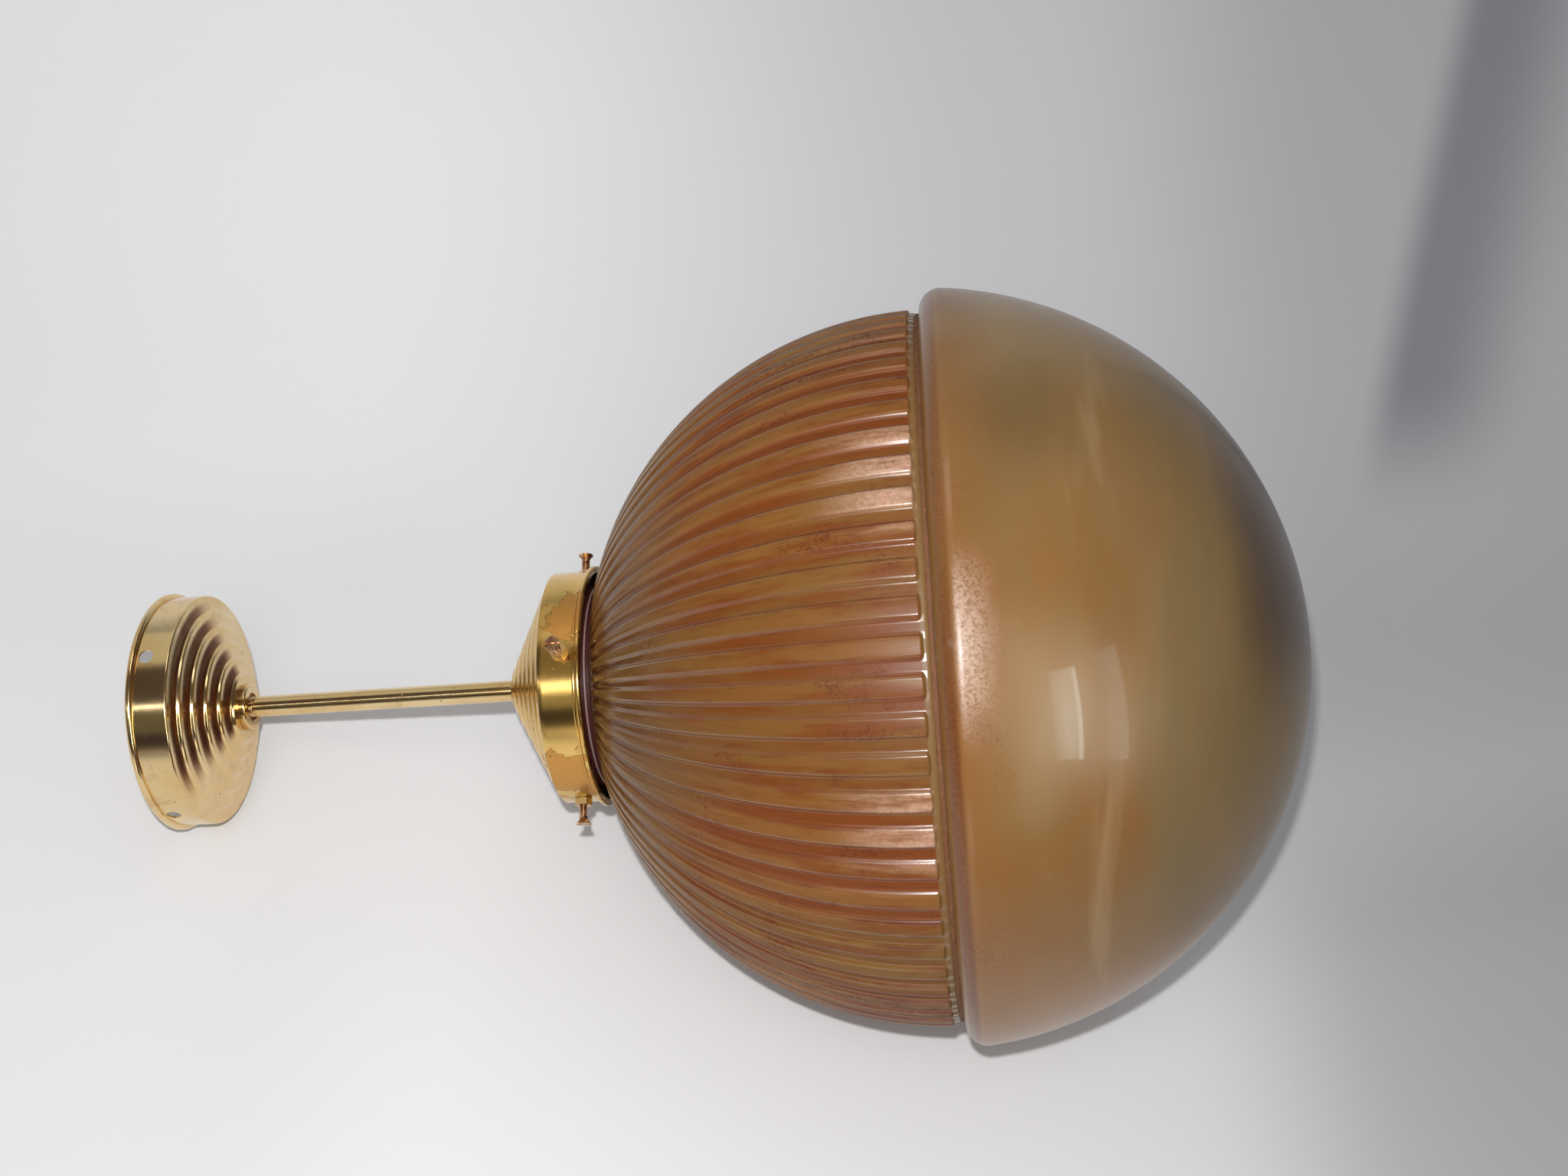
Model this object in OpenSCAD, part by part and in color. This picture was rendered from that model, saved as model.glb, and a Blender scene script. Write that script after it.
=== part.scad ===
// Pendant light: pressed brass canopy, tube stem, shade gallery and a two-part glass globe.
// Millimetres. +Z is up as the light hangs. The origin is the centre of the canopy's open rim,
// the plane that meets the ceiling. Everything hangs below it, and a "drop" is a depth under it.

/* [Ceiling canopy] */
// Outer diameter of the canopy's straight skirt
canopy_d = 110.8; // [90:0.2:140]
// Outer diameter of the rolled rim that meets the ceiling
canopy_rim_d = 115; // [112:0.5:150]
// Radius of the roll along the canopy's rim
canopy_roll_r = 1.7; // [1.2:0.1:2.2]
// Height of the straight skirt, from the rim to the first crest
canopy_skirt_h = 19.1; // [15:0.1:30]
// Height of one pressed step of the canopy's cone
canopy_step_h = 3.2; // [2.4:0.1:4.5]
// Number of pressed steps from the skirt to the crown
canopy_steps = 5; // [4:1:6]
// Diameter of the flat crown that carries the boss
canopy_crown_d = 33; // [25:0.5:36]
// Diameter of each screw hole in the skirt
canopy_hole_d = 6.8; // [4:0.1:8]
// Height of the screw holes' centres above the rim plane
canopy_hole_h = 7.8; // [7.6:0.1:10]
// Number of screw holes round the skirt
canopy_holes = 4; // [2:1:6]

/* [Sheet metal] */
// Thickness of the pressed brass sheet
sheet_t = 0.8; // [0.6:0.1:1]
// Radius of the pressed crests
crest_r = 0.9; // [0.5:0.1:1.2]

/* [Stem] */
// Outer diameter of the stem tube
stem_d = 10; // [9:0.1:12]
// Bore of the stem tube, which takes the two wires
stem_bore_d = 8; // [5:0.1:8]
// Length of stem that shows between the boss and the gallery
stem_show_l = 131.1; // [60:0.5:400]
// Depth of the thread, taken off the tube's radius at both ends
thread_t = 0.15; // [0.1:0.05:0.4]
// Length of thread that shows beside the boss and beside the gallery
thread_show_l = 1.8; // [0.5:0.1:4]

/* [Boss, washers and lock nuts] */
// Diameter of the turned boss under the canopy
boss_d = 22.2; // [20:0.2:24]
// Height of the boss
boss_h = 3.2; // [2.8:0.1:8]
// Diameter of the recess in the boss's lower face
boss_recess_d = 13.6; // [12:0.2:16]
// Depth of the recess in the boss's lower face
boss_recess_t = 1.5; // [0.5:0.1:2]
// Diameter of the spigot that centres the boss in the canopy's crown
spigot_d = 14; // [12:0.2:15]
// Outer diameter of the two washers
washer_d = 18; // [15.5:0.5:18.5]
// Thickness of the two washers
washer_t = 1.5; // [1:0.1:2]
// Width across the flats of the two lock nuts
lock_nut_af = 14; // [13:0.5:17]
// Thickness of the two lock nuts
lock_nut_t = 3; // [2.5:0.1:4]

/* [Shade gallery] */
// Outer diameter of the gallery's straight skirt
gallery_d = 109.6; // [106:0.2:130]
// Outer diameter of the rolled lower rim
gallery_rim_d = 114.4; // [112.5:0.2:135]
// Radius of the roll along the lower rim
gallery_roll_r = 1.25; // [1:0.05:1.6]
// Height of the pressed cone, from its flat crown to the skirt
gallery_cone_h = 23; // [18:0.5:30]
// Number of pressed steps down the cone
gallery_steps = 6; // [3:1:8]
// Diameter of the gallery's flat crown
gallery_crown_d = 22; // [21.5:0.5:28]
// Height of the straight skirt, with its rim
gallery_skirt_h = 20.2; // [19:0.2:30]
// How far the pressed bead stands out above the rim
gallery_bead_t = 0.6; // [0.3:0.1:1]

/* [Shade screws] */
// Shank diameter of the shade screws
screw_d = 3.9; // [3:0.1:5]
// Overall length of a shade screw, with its head
screw_l = 19.2; // [17:0.2:26]
// Diameter of the countersunk head
screw_head_d = 7.2; // [6:0.1:9]
// Height of the countersunk head
screw_head_t = 2.3; // [1.8:0.1:3]
// Width of the driving slot
slot_w = 0.9; // [0.6:0.1:1.2]
// Height of the screws' axes above the gallery's rim
screw_up = 10; // [8:0.2:11]
// Number of shade screws
screw_count = 4; // [4:1:4]
// Width across the flats of the nuts on the skirt
screw_nut_af = 7; // [6:0.5:8]
// Thickness of the nuts on the skirt
screw_nut_t = 3.2; // [2:0.1:4]

/* [Reflector glass] */
// Outer diameter over the ribs, where the reflector is widest
reflector_d = 330; // [280:1:400]
// Height of the ribs at the wide edge
rib_t = 1.6; // [0.8:0.1:2.5]
// Number of ribs
rib_count = 68; // [48:1:80]
// Outer diameter of the glass neck
neck_d = 95; // [90:0.5:98]
// Thickness of the reflector glass under the ribs
reflector_t = 4.5; // [3:0.1:6]
// How far the neck reaches below the gallery's rim before the dome starts
neck_drop = 2.2; // [1:0.1:6]
// Diameter of the lip that the screws hold
lip_d = 103; // [100:0.5:104.5]
// Height of the lip
lip_h = 6.4; // [4:0.1:7]
// Radius at which the ribs start on the dome
rib_start_r = 56; // [56:1:80]
// Plain band between the ribs' ends and the wide edge
edge_band = 2.5; // [2:0.5:8]

/* [Bowl glass] */
// How far the bowl's sphere stands out past the reflector's ribs
bowl_overhang = 10; // [8:0.5:25]
// Thickness of the bowl glass
bowl_t = 4; // [3:0.1:6]
// Height of the bowl's centre above its rim face
bowl_rise = 9.4; // [0:0.1:14]
// Radius of the bowl's rounded rim
bowl_corner_r = 9.6; // [6:0.1:12]
// Thickness of the cement between the two glasses
cement_t = 2; // [1:0.1:4]
// Width of the cement ring
cement_w = 4.5; // [3:0.1:4.6]

/* [Lampholder] */
// Outer diameter of the porcelain lampholder
holder_d = 48; // [46:0.5:60]
// Overall length of the porcelain, cap and body together
holder_l = 60; // [58:0.5:72]
// Length of the porcelain cap
holder_cap_l = 18; // [16:0.5:22]
// Depth of the gap from the gallery's crown to the porcelain cap
holder_gap = 16.7; // [14:0.1:30]
// Diameter of the wiring chamber
chamber_d = 33; // [32:0.5:34]
// Inner diameter of the screw shell that takes the lamp's cap
shell_bore_d = 26.6; // [26:0.1:27.4]
// Length of the screw shell
shell_l = 20; // [16:0.5:22]
// Thickness of the screw shell
shell_t = 0.5; // [0.3:0.1:0.8]
// Thickness of the sprung contact tongue
tongue_t = 0.6; // [0.4:0.1:0.8]
// Width of the sprung contact tongue
tongue_w = 6; // [4:0.5:7]

/* [Clearances] */
// Gap between a screw and what it passes or meets
screw_gap = 0.05; // [0.03:0.01:0.08]
// Gap between the glass and the screws that hold it
glass_gap = 0.3; // [0.2:0.05:0.4]
// Gap round a piece that is fitted and stays put
fit_gap = 0.1; // [0.05:0.01:0.2]

/* [Hidden] */
$fn = 96;

// Colours of the real finishes
brass = [0.80, 0.62, 0.33];
aged_brass = [0.62, 0.42, 0.24];
steel = [0.66, 0.66, 0.64];
amber_glass = [0.66, 0.44, 0.30, 0.7];
smoky_glass = [0.62, 0.46, 0.33, 0.8];
cement_colour = [0.20, 0.15, 0.12];
porcelain = [0.90, 0.88, 0.82];
copper = [0.74, 0.43, 0.28];

// Canopy
canopy_r = canopy_d / 2;
canopy_crown_r = canopy_crown_d / 2;
canopy_drop = canopy_skirt_h + canopy_steps * canopy_step_h;
canopy_hole_turn = 31;

// Boss, thread and lock nuts
thread_r = stem_d / 2 - thread_t;
threaded_bore_r = thread_r + screw_gap;
washer_bore_r = stem_d / 2 + fit_gap;
boss_bottom = canopy_drop + boss_h;
boss_chamfer = 0.5;
top_washer_drop = canopy_drop - sheet_t - washer_t;
top_nut_drop = top_washer_drop - lock_nut_t;
stem_top = top_nut_drop - 3;

// Gallery
gallery_r = gallery_d / 2;
gallery_crown_r = gallery_crown_d / 2;
gallery_top = boss_bottom + stem_show_l;
gallery_shoulder = gallery_top + gallery_cone_h;
gallery_bottom = gallery_shoulder + gallery_skirt_h;
gallery_relief = 0.4;
gallery_bead_r = 0.9;
gallery_bead_up = 3.4;
low_washer_drop = gallery_top + sheet_t;
low_nut_drop = low_washer_drop + washer_t;

// Shade screws
screw_r = screw_d / 2;
screw_hole_r = screw_r + screw_gap;
screw_drop = gallery_bottom - screw_up;
screw_turn = 20;
screw_tip_r = neck_d / 2 + glass_gap;
screw_tip_chamfer = 0.6;
slot_t = screw_head_t * 0.4;
screw_nut_r = gallery_r + screw_gap;
nut_chamfer = 0.35;

// Reflector glass
reflector_r = reflector_d / 2;
groove_r = reflector_r - rib_t;
neck_r = neck_d / 2;
lip_r = lip_d / 2;
lip_bottom = screw_drop - screw_r - glass_gap;
lip_top = lip_bottom - lip_h;
dome_top = gallery_bottom + neck_drop;
dome_centre = dome_top + sqrt(groove_r * groove_r - neck_r * neck_r);
dome_edge = dome_centre + 0.5;
inner_r = groove_r - reflector_t;
neck_bore_r = neck_r - reflector_t;
bore_end = dome_centre - sqrt(inner_r * inner_r - neck_bore_r * neck_bore_r);
rib_rings = 9;
bore_rings = 8;
rib_flat = 0.24;
rib_foot = 0.38;

// Bowl glass and cement
bowl_r = reflector_r + bowl_overhang;
bowl_top = dome_edge + cement_t;
bowl_centre = bowl_top - bowl_rise;
corner_drop = bowl_top + bowl_corner_r;
corner_r = sqrt(pow(bowl_r - bowl_corner_r, 2) - pow(corner_drop - bowl_centre, 2));
corner_tilt = atan((corner_drop - bowl_centre) / corner_r);
bowl_flange_r = inner_r - 0.8;
cement_r = min(groove_r, corner_r) - 0.6;

// Lampholder
holder_r = holder_d / 2;
holder_top = gallery_top + holder_gap;
holder_joint = holder_top + holder_cap_l;
holder_bottom = holder_top + holder_l;
holder_edge_r = 2;
holder_crown_r = 11;
chamber_r = chamber_d / 2;
web_t = 4.5;
web_top = holder_joint + 9;
web_bottom = web_top + web_t;
pocket_r = 9.2;
shell_r = shell_bore_d / 2;
shell_out_r = shell_r + shell_t;
shell_top = web_bottom + 5.9;
shell_bottom = shell_top + shell_t + shell_l;
bush_r = 7;
bush_flange_r = 9.5;
bush_flange_t = 2;
cap_crown_t = 4.5;
ring_nut_r = 10;
ring_nut_t = 2.5;
stem_bottom = holder_top + cap_crown_t + bush_flange_t + 1;
block_l = 7;
block_w = 8;
block_t = 8;
block_wire_r = 1.5;
live_x = 9;
neutral_x = 2.3 - shell_r;
rivet_r = 1.2;
rivet_head_r = 2;
rivet_head_t = 1;
live_rivet_x = 6.8;
flush_head_r = 1.8;
flush_head_t = flush_head_r - rivet_r;
tongue_gap = 0.35;
tongue_tip_x = -3;
tongue_rise = 3.6;
terminal_screw_r = 1.45;
terminal_head_r = 2.75;
terminal_head_t = 2;
holder_screw_r = 1.6;
holder_screw_y = 20.2;
holder_screw_up = 6;
holder_screw_head_r = 2.9;
holder_screw_head_t = 2.2;
holder_screw_sunk = 4;

// Points of an arc round [r, drop]; 0 degrees points outwards and 90 degrees points down
function arc(centre, radius, from, to, steps) =
    [for (i = [0 : steps])
        let (a = from + (to - from) * i / steps)
        [centre[0] + radius * cos(a), centre[1] + radius * sin(a)]];

// One pressed step, from a rounded crest at start to just short of the crest at end
function pressed_step(start, end, round_r, dip) =
    let (
        run = start[0] - end[0] - round_r,
        fall = end[1] - start[1] - round_r * dip,
        crest = [for (a = [0 : 22.5 : 90])
            [start[0] - round_r * (1 - cos(a)), start[1] - round_r * dip * (1 - sin(a))]],
        cove = [for (a = [15 : 15 : 90])
            let (straight = a / 90)
            [start[0] - round_r - run * (1 - dip) * straight - run * dip * sin(a),
                start[1] + fall * (1 - dip) * straight + fall * dip * (1 - cos(a))]]
    )
    concat(crest, cove);

// A stepped cone: crests run evenly from the first point to the last
function stepped_cone(first, last, steps, round_r, dip) =
    [for (i = [0 : steps - 1])
        let (
            start = first + (last - first) * i / steps,
            end = first + (last - first) * (i + 1) / steps
        )
        each pressed_step(start, end, round_r, dip)];

// Turns a closed outline of [radius, drop] points round the hanging axis
module turned(outline) {
    rotate_extrude()
        polygon([for (q = outline) [q[0], -q[1]]]);
}

// A plain ring between two drops
module ring(outer_r, inner_r, top, bottom) {
    translate([0, 0, -bottom])
        difference() {
            cylinder(r = outer_r, h = bottom - top);
            translate([0, 0, -1])
                cylinder(r = inner_r, h = bottom - top + 2);
        }
}

// A hexagon nut with chamfered corners, standing on the plane z = 0
module hex_nut(flats, thickness, bore_r, chamfer) {
    corner = flats / 2 / cos(30);
    difference() {
        intersection() {
            cylinder(r = corner, h = thickness, $fn = 6);
            rotate_extrude()
                polygon([[0, 0], [corner - chamfer, 0], [corner, chamfer],
                    [corner, thickness - chamfer], [corner - chamfer, thickness], [0, thickness]]);
        }
        translate([0, 0, -1])
            cylinder(r = bore_r, h = thickness + 2);
    }
}

// Places its children with their +Z axis pointing outwards, level with a drop
module outwards(turn, drop, radius) {
    rotate([0, 0, turn])
        translate([radius, 0, -drop])
            rotate([0, 90, 0])
                children();
}

// Radial holes through a skirt
module skirt_holes(count, turn, drop, hole_r, wall_r) {
    for (i = [0 : count - 1])
        outwards(turn + i * 360 / count, drop, wall_r - 6)
            cylinder(r = hole_r, h = 12);
}

module canopy() {
    outer = stepped_cone([canopy_r, canopy_skirt_h], [canopy_crown_r, canopy_drop],
        canopy_steps, crest_r, 1);
    inner = stepped_cone([canopy_r - sheet_t, canopy_skirt_h - sheet_t],
        [canopy_crown_r - sheet_t, canopy_drop - sheet_t], canopy_steps, crest_r, 1);
    roll = arc([canopy_rim_d / 2 - canopy_roll_r, canopy_roll_r], canopy_roll_r, -90, 90, 12);
    hole_r = spigot_d / 2 + fit_gap;
    color(brass)
        difference() {
            turned(concat(
                [[canopy_r - sheet_t, 0]],
                roll,
                [[canopy_r, 2 * canopy_roll_r]],
                outer,
                [[canopy_crown_r - crest_r, canopy_drop],
                    [hole_r, canopy_drop],
                    [hole_r, canopy_drop - sheet_t],
                    [canopy_crown_r - sheet_t - crest_r, canopy_drop - sheet_t]],
                [for (i = [len(inner) - 1 : -1 : 0]) inner[i]]));
            skirt_holes(canopy_holes, canopy_hole_turn, canopy_hole_h, canopy_hole_d / 2, canopy_r);
        }
}

module canopy_boss() {
    r = boss_d / 2;
    color(brass)
        turned([
            [threaded_bore_r, canopy_drop - sheet_t],
            [spigot_d / 2, canopy_drop - sheet_t],
            [spigot_d / 2, canopy_drop],
            [r, canopy_drop],
            [r, boss_bottom - boss_chamfer],
            [r - boss_chamfer, boss_bottom],
            [boss_recess_d / 2, boss_bottom],
            [boss_recess_d / 2, boss_bottom - boss_recess_t],
            [threaded_bore_r, boss_bottom - boss_recess_t]]);
}

module canopy_washer() {
    color(steel)
        ring(washer_d / 2, washer_bore_r, top_washer_drop, top_washer_drop + washer_t);
}

module canopy_lock_nut() {
    color(steel)
        translate([0, 0, -top_nut_drop - lock_nut_t])
            hex_nut(lock_nut_af, lock_nut_t, threaded_bore_r, 2 * nut_chamfer);
}

module stem_tube() {
    bore_r = stem_bore_d / 2;
    stem_r = stem_d / 2;
    color(brass)
        turned([
            [bore_r, stem_top],
            [thread_r, stem_top],
            [thread_r, boss_bottom + thread_show_l],
            [stem_r, boss_bottom + thread_show_l],
            [stem_r, gallery_top - thread_show_l],
            [thread_r, gallery_top - thread_show_l],
            [thread_r, stem_bottom],
            [bore_r, stem_bottom]]);
}

module gallery() {
    hole_r = thread_r + fit_gap;
    color(brass)
        difference() {
            turned(gallery_outline(hole_r));
            skirt_holes(screw_count, screw_turn, screw_drop, screw_hole_r, gallery_r);
        }
}

// Outline of the gallery: crown, stepped cone, skirt with a bead, rolled rim, then back inside
function gallery_outline(hole_r) =
    let (
        outer = gallery_cone(0),
        inner = gallery_cone(sheet_t),
        bead_drop = gallery_bottom - gallery_bead_up,
        bead = arc([gallery_r + gallery_bead_t - gallery_bead_r, bead_drop], gallery_bead_r,
            -acos(1 - gallery_bead_t / gallery_bead_r), acos(1 - gallery_bead_t / gallery_bead_r), 6),
        roll = arc([gallery_rim_d / 2 - gallery_roll_r, gallery_bottom - gallery_roll_r],
            gallery_roll_r, -90, 90, 10)
    )
    concat(
        [[hole_r, gallery_top], [gallery_crown_r - crest_r, gallery_top]],
        outer,
        bead,
        [[gallery_r, gallery_bottom - 2 * gallery_roll_r]],
        roll,
        [[gallery_r - sheet_t, gallery_bottom]],
        [for (i = [len(inner) - 1 : -1 : 0]) inner[i]],
        [[gallery_crown_r - sheet_t - crest_r, gallery_top + sheet_t],
            [hole_r, gallery_top + sheet_t]]);

// The gallery's stepped cone from crown to skirt, moved inwards by one sheet for the inside
function gallery_cone(inset) =
    let (
        first = [gallery_r - inset, -gallery_shoulder - inset],
        last = [gallery_crown_r - inset, -gallery_top - inset],
        crests = stepped_cone(first, last, gallery_steps, crest_r, gallery_relief)
    )
    [for (i = [len(crests) - 1 : -1 : 0]) [crests[i][0], -crests[i][1]]];

module gallery_washer() {
    color(steel)
        ring(washer_d / 2, washer_bore_r, low_washer_drop, low_washer_drop + washer_t);
}

module gallery_lock_nut() {
    color(steel)
        translate([0, 0, -low_nut_drop - lock_nut_t])
            hex_nut(lock_nut_af, lock_nut_t, threaded_bore_r, 2 * nut_chamfer);
}

module screw_nuts() {
    color(aged_brass)
        for (i = [0 : screw_count - 1])
            outwards(screw_turn + i * 360 / screw_count, screw_drop, screw_nut_r)
                hex_nut(screw_nut_af, screw_nut_t, screw_hole_r, nut_chamfer);
}

// One countersunk shade screw, with its tip against the glass neck
module shade_screw(index) {
    head_r = screw_head_d / 2;
    color(copper)
        outwards(screw_turn + index * 360 / screw_count, screw_drop, screw_tip_r)
            difference() {
                rotate_extrude()
                    polygon([[0, 0], [screw_r - screw_tip_chamfer, 0], [screw_r, screw_tip_chamfer],
                        [screw_r, screw_l - screw_head_t], [head_r, screw_l - 0.3],
                        [head_r, screw_l], [0, screw_l]]);
                translate([-head_r - 1, -slot_w / 2, screw_l - slot_t])
                    cube([2 * head_r + 2, slot_w, slot_t + 1]);
            }
}

module shade_screw_1() { shade_screw(0); }
module shade_screw_2() { shade_screw(1); }
module shade_screw_3() { shade_screw(2); }
module shade_screw_4() { shade_screw(3); }

// Points of one ring: a smooth one has one point a rib, a ribbed one has four
function smooth_ring(radius, drop) =
    [for (i = [0 : rib_count - 1])
        let (a = 360 * i / rib_count)
        [radius * cos(a), radius * sin(a), -drop]];

function ribbed_ring(radius, drop, rise) =
    [for (i = [0 : rib_count - 1], part = [-rib_flat, rib_flat, rib_foot, 1 - rib_foot])
        let (
            a = 360 * (i + part) / rib_count,
            r = radius + (abs(part) == rib_flat ? rise : 0)
        )
        [r * cos(a), r * sin(a), -drop]];

// Triangles between two rings of the same count, the first one above and outside
function band(first, second, count) =
    [for (i = [0 : count - 1])
        let (j = (i + 1) % count)
        each [[first + i, second + i, second + j], [first + i, second + j, first + j]]];

// Triangles between a smooth ring and the ribbed one below it, or above it where flip is true
function mixed_band(smooth, ribbed, flip) =
    [for (i = [0 : rib_count - 1])
        let (
            j = (i + 1) % rib_count,
            a = smooth + i,
            b = smooth + j,
            q = [for (k = [0 : 3]) ribbed + 4 * i + k],
            next = ribbed + 4 * j,
            made = [[a, q[0], q[1]], [a, q[1], q[2]], [a, q[2], b], [b, q[2], q[3]],
                [b, q[3], next]]
        )
        each flip ? [for (t = made) [t[0], t[2], t[1]]] : made];

module reflector_glass() {
    start_tilt = asin(rib_start_r / groove_r);
    end_tilt = acos(-(dome_edge - edge_band - dome_centre) / groove_r);
    round_t = 1.2;
    head = [
        smooth_ring(neck_bore_r, lip_top),
        smooth_ring(lip_r - round_t, lip_top),
        smooth_ring(lip_r, lip_top + round_t),
        smooth_ring(lip_r, lip_bottom - 0.5),
        smooth_ring(lip_r - 0.5, lip_bottom),
        smooth_ring(neck_r, lip_bottom),
        smooth_ring(neck_r, dome_top),
        smooth_ring((neck_r + rib_start_r) / 2, dome_centre
            - sqrt(groove_r * groove_r - pow((neck_r + rib_start_r) / 2, 2))),
        smooth_ring(rib_start_r - 3, dome_centre
            - sqrt(groove_r * groove_r - pow(rib_start_r - 3, 2)))];
    ribs = [for (i = [0 : rib_rings])
        let (
            a = start_tilt + (end_tilt - start_tilt) * i / rib_rings,
            rise = i == 0 ? 0.4 * rib_t : rib_t
        )
        ribbed_ring(groove_r * sin(a), dome_centre - groove_r * cos(a), rise)];
    edge_tilt = acos(-(dome_edge - dome_centre) / groove_r);
    tail = concat(
        [smooth_ring(groove_r * sin(end_tilt + 0.5), dome_centre - groove_r * cos(end_tilt + 0.5)),
            smooth_ring(groove_r * sin(edge_tilt), dome_edge)],
        [for (i = [0 : bore_rings])
            let (
                low = acos(-(dome_edge - dome_centre) / inner_r),
                high = asin(neck_bore_r / inner_r),
                a = low + (high - low) * i / bore_rings
            )
            smooth_ring(inner_r * sin(a), dome_centre - inner_r * cos(a))]);
    head_at = [for (i = [0 : len(head) - 1]) i * rib_count];
    rib_at = [for (i = [0 : rib_rings]) len(head) * rib_count + i * 4 * rib_count];
    tail_at = [for (i = [0 : len(tail) - 1])
        len(head) * rib_count + (rib_rings + 1) * 4 * rib_count + i * rib_count];
    points = [for (group = [head, ribs, tail], one = group) each one];
    faces = concat(
        [for (i = [0 : len(head) - 2]) each band(head_at[i], head_at[i + 1], rib_count)],
        mixed_band(head_at[len(head) - 1], rib_at[0], false),
        [for (i = [0 : rib_rings - 1]) each band(rib_at[i], rib_at[i + 1], 4 * rib_count)],
        mixed_band(tail_at[0], rib_at[rib_rings], true),
        [for (i = [0 : len(tail) - 2]) each band(tail_at[i], tail_at[i + 1], rib_count)],
        band(tail_at[len(tail) - 1], head_at[0], rib_count));
    color(amber_glass)
        polyhedron(points, faces);
}

module cement_ring() {
    color(cement_colour)
        ring(cement_r, cement_r - cement_w, dome_edge, bowl_top);
}

// The bowl: a flat rim flange turned in over a rounded corner, then one sphere
module bowl_glass() {
    inside_r = bowl_r - bowl_t;
    inside_corner_r = bowl_corner_r - bowl_t;
    steps = 24;
    outer = concat(
        arc([corner_r, corner_drop], bowl_corner_r, -90, corner_tilt, 10),
        arc([0, bowl_centre], bowl_r, corner_tilt, 90, steps));
    inner = concat(
        arc([corner_r, corner_drop], inside_corner_r, -90, corner_tilt, 8),
        arc([0, bowl_centre], inside_r, corner_tilt, 90, steps));
    color(smoky_glass)
        turned(concat(
            [[bowl_flange_r, bowl_top]],
            outer,
            [for (i = [len(inner) - 1 : -1 : 0]) inner[i]],
            [[bowl_flange_r, bowl_top + bowl_t]]));
}

module holder_ring_nut() {
    color(brass)
        ring(ring_nut_r, bush_r + fit_gap, holder_top - ring_nut_t, holder_top);
}

module entry_bush() {
    flange_top = holder_top + cap_crown_t;
    color(brass)
        turned([
            [threaded_bore_r, holder_top - ring_nut_t - 1],
            [bush_r, holder_top - ring_nut_t - 1],
            [bush_r, flange_top],
            [bush_flange_r, flange_top],
            [bush_flange_r, flange_top + bush_flange_t],
            [threaded_bore_r, flange_top + bush_flange_t]]);
}

module holder_cap() {
    dome_r = holder_r - holder_crown_r;
    dome_h = holder_cap_l * 0.55;
    color(porcelain)
        difference() {
            turned(concat(
                [[bush_r + fit_gap, holder_top], [holder_crown_r, holder_top]],
                [for (a = [15 : 15 : 90])
                    [holder_crown_r + dome_r * sin(a), holder_top + dome_h * (1 - cos(a))]],
                [[holder_r, holder_joint], [chamber_r, holder_joint],
                    [chamber_r, holder_top + dome_h], [chamber_r - 4, holder_top + cap_crown_t],
                    [bush_r + fit_gap, holder_top + cap_crown_t]]));
            for (side = [-1, 1])
                translate([0, side * holder_screw_y, -holder_joint - 1])
                    cylinder(r = holder_screw_r + fit_gap, h = holder_screw_up + 1.5);
        }
}

module holder_body() {
    bore_r = shell_out_r + fit_gap;
    color(porcelain)
        difference() {
            turned(concat(
                [[chamber_r, holder_joint], [holder_r, holder_joint]],
                arc([holder_r - holder_edge_r, holder_bottom - holder_edge_r], holder_edge_r, 0, 90, 6),
                [[bore_r, holder_bottom], [bore_r, shell_top], [pocket_r, shell_top],
                    [pocket_r, web_bottom], [0, web_bottom], [0, web_top], [chamber_r, web_top]]));
            translate([live_rivet_x, 0, -web_bottom - 1])
                cylinder(r = rivet_r + fit_gap, h = web_t + 2);
            flush_rivet(fit_gap, 1);
            for (side = [-1, 1])
                translate([0, side * holder_screw_y, -holder_bottom - 1]) {
                    cylinder(r = holder_screw_r + fit_gap, h = holder_l);
                    cylinder(r = holder_screw_head_r + 2 * fit_gap, h = holder_screw_sunk + 1);
                }
        }
}

module screw_shell() {
    color(copper)
        difference() {
            turned([
                [pocket_r - 0.4, shell_top],
                [shell_out_r, shell_top],
                [shell_out_r, shell_bottom],
                [shell_r, shell_bottom],
                [shell_r, shell_top + shell_t],
                [pocket_r - 0.4, shell_top + shell_t]]);
            flush_rivet(fit_gap, 1);
        }
}

// Sprung tongue: a flat foot round its rivet, then a strip that rises to a rounded tip
module centre_contact() {
    foot = web_bottom + tongue_gap;
    foot_end = live_rivet_x + 1.6;
    bend = live_rivet_x - 2.8;
    color(copper)
        difference() {
            translate([0, tongue_w / 2, 0])
                rotate([90, 0, 0])
                    linear_extrude(tongue_w)
                        polygon([
                            [foot_end, -foot],
                            [bend, -foot],
                            [tongue_tip_x, -foot - tongue_rise],
                            [tongue_tip_x - 2, -foot - tongue_rise + 0.8],
                            [tongue_tip_x - 2, -foot - tongue_rise + 0.8 - tongue_t],
                            [tongue_tip_x, -foot - tongue_rise - tongue_t],
                            [bend, -foot - tongue_t],
                            [foot_end, -foot - tongue_t]]);
            translate([live_rivet_x, 0, -foot - tongue_t - 1])
                cylinder(r = rivet_r + tongue_gap, h = tongue_t + 2);
        }
}

// A terminal block with a cross hole for the wire and a screw hole from above
module terminal(x) {
    color(brass)
        translate([x, 0, -web_top])
            difference() {
                translate([-block_l / 2, -block_w / 2, 0])
                    cube([block_l, block_w, block_t]);
                translate([0, block_w / 2 + 1, block_t / 2 - 0.5])
                    rotate([90, 0, 0])
                        cylinder(r = block_wire_r, h = block_w + 2);
                translate([0, 0, block_t / 2])
                    cylinder(r = terminal_screw_r + screw_gap, h = block_t);
            }
}

module live_terminal() { terminal(live_x); }
module neutral_terminal() { terminal(neutral_x); }

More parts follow.
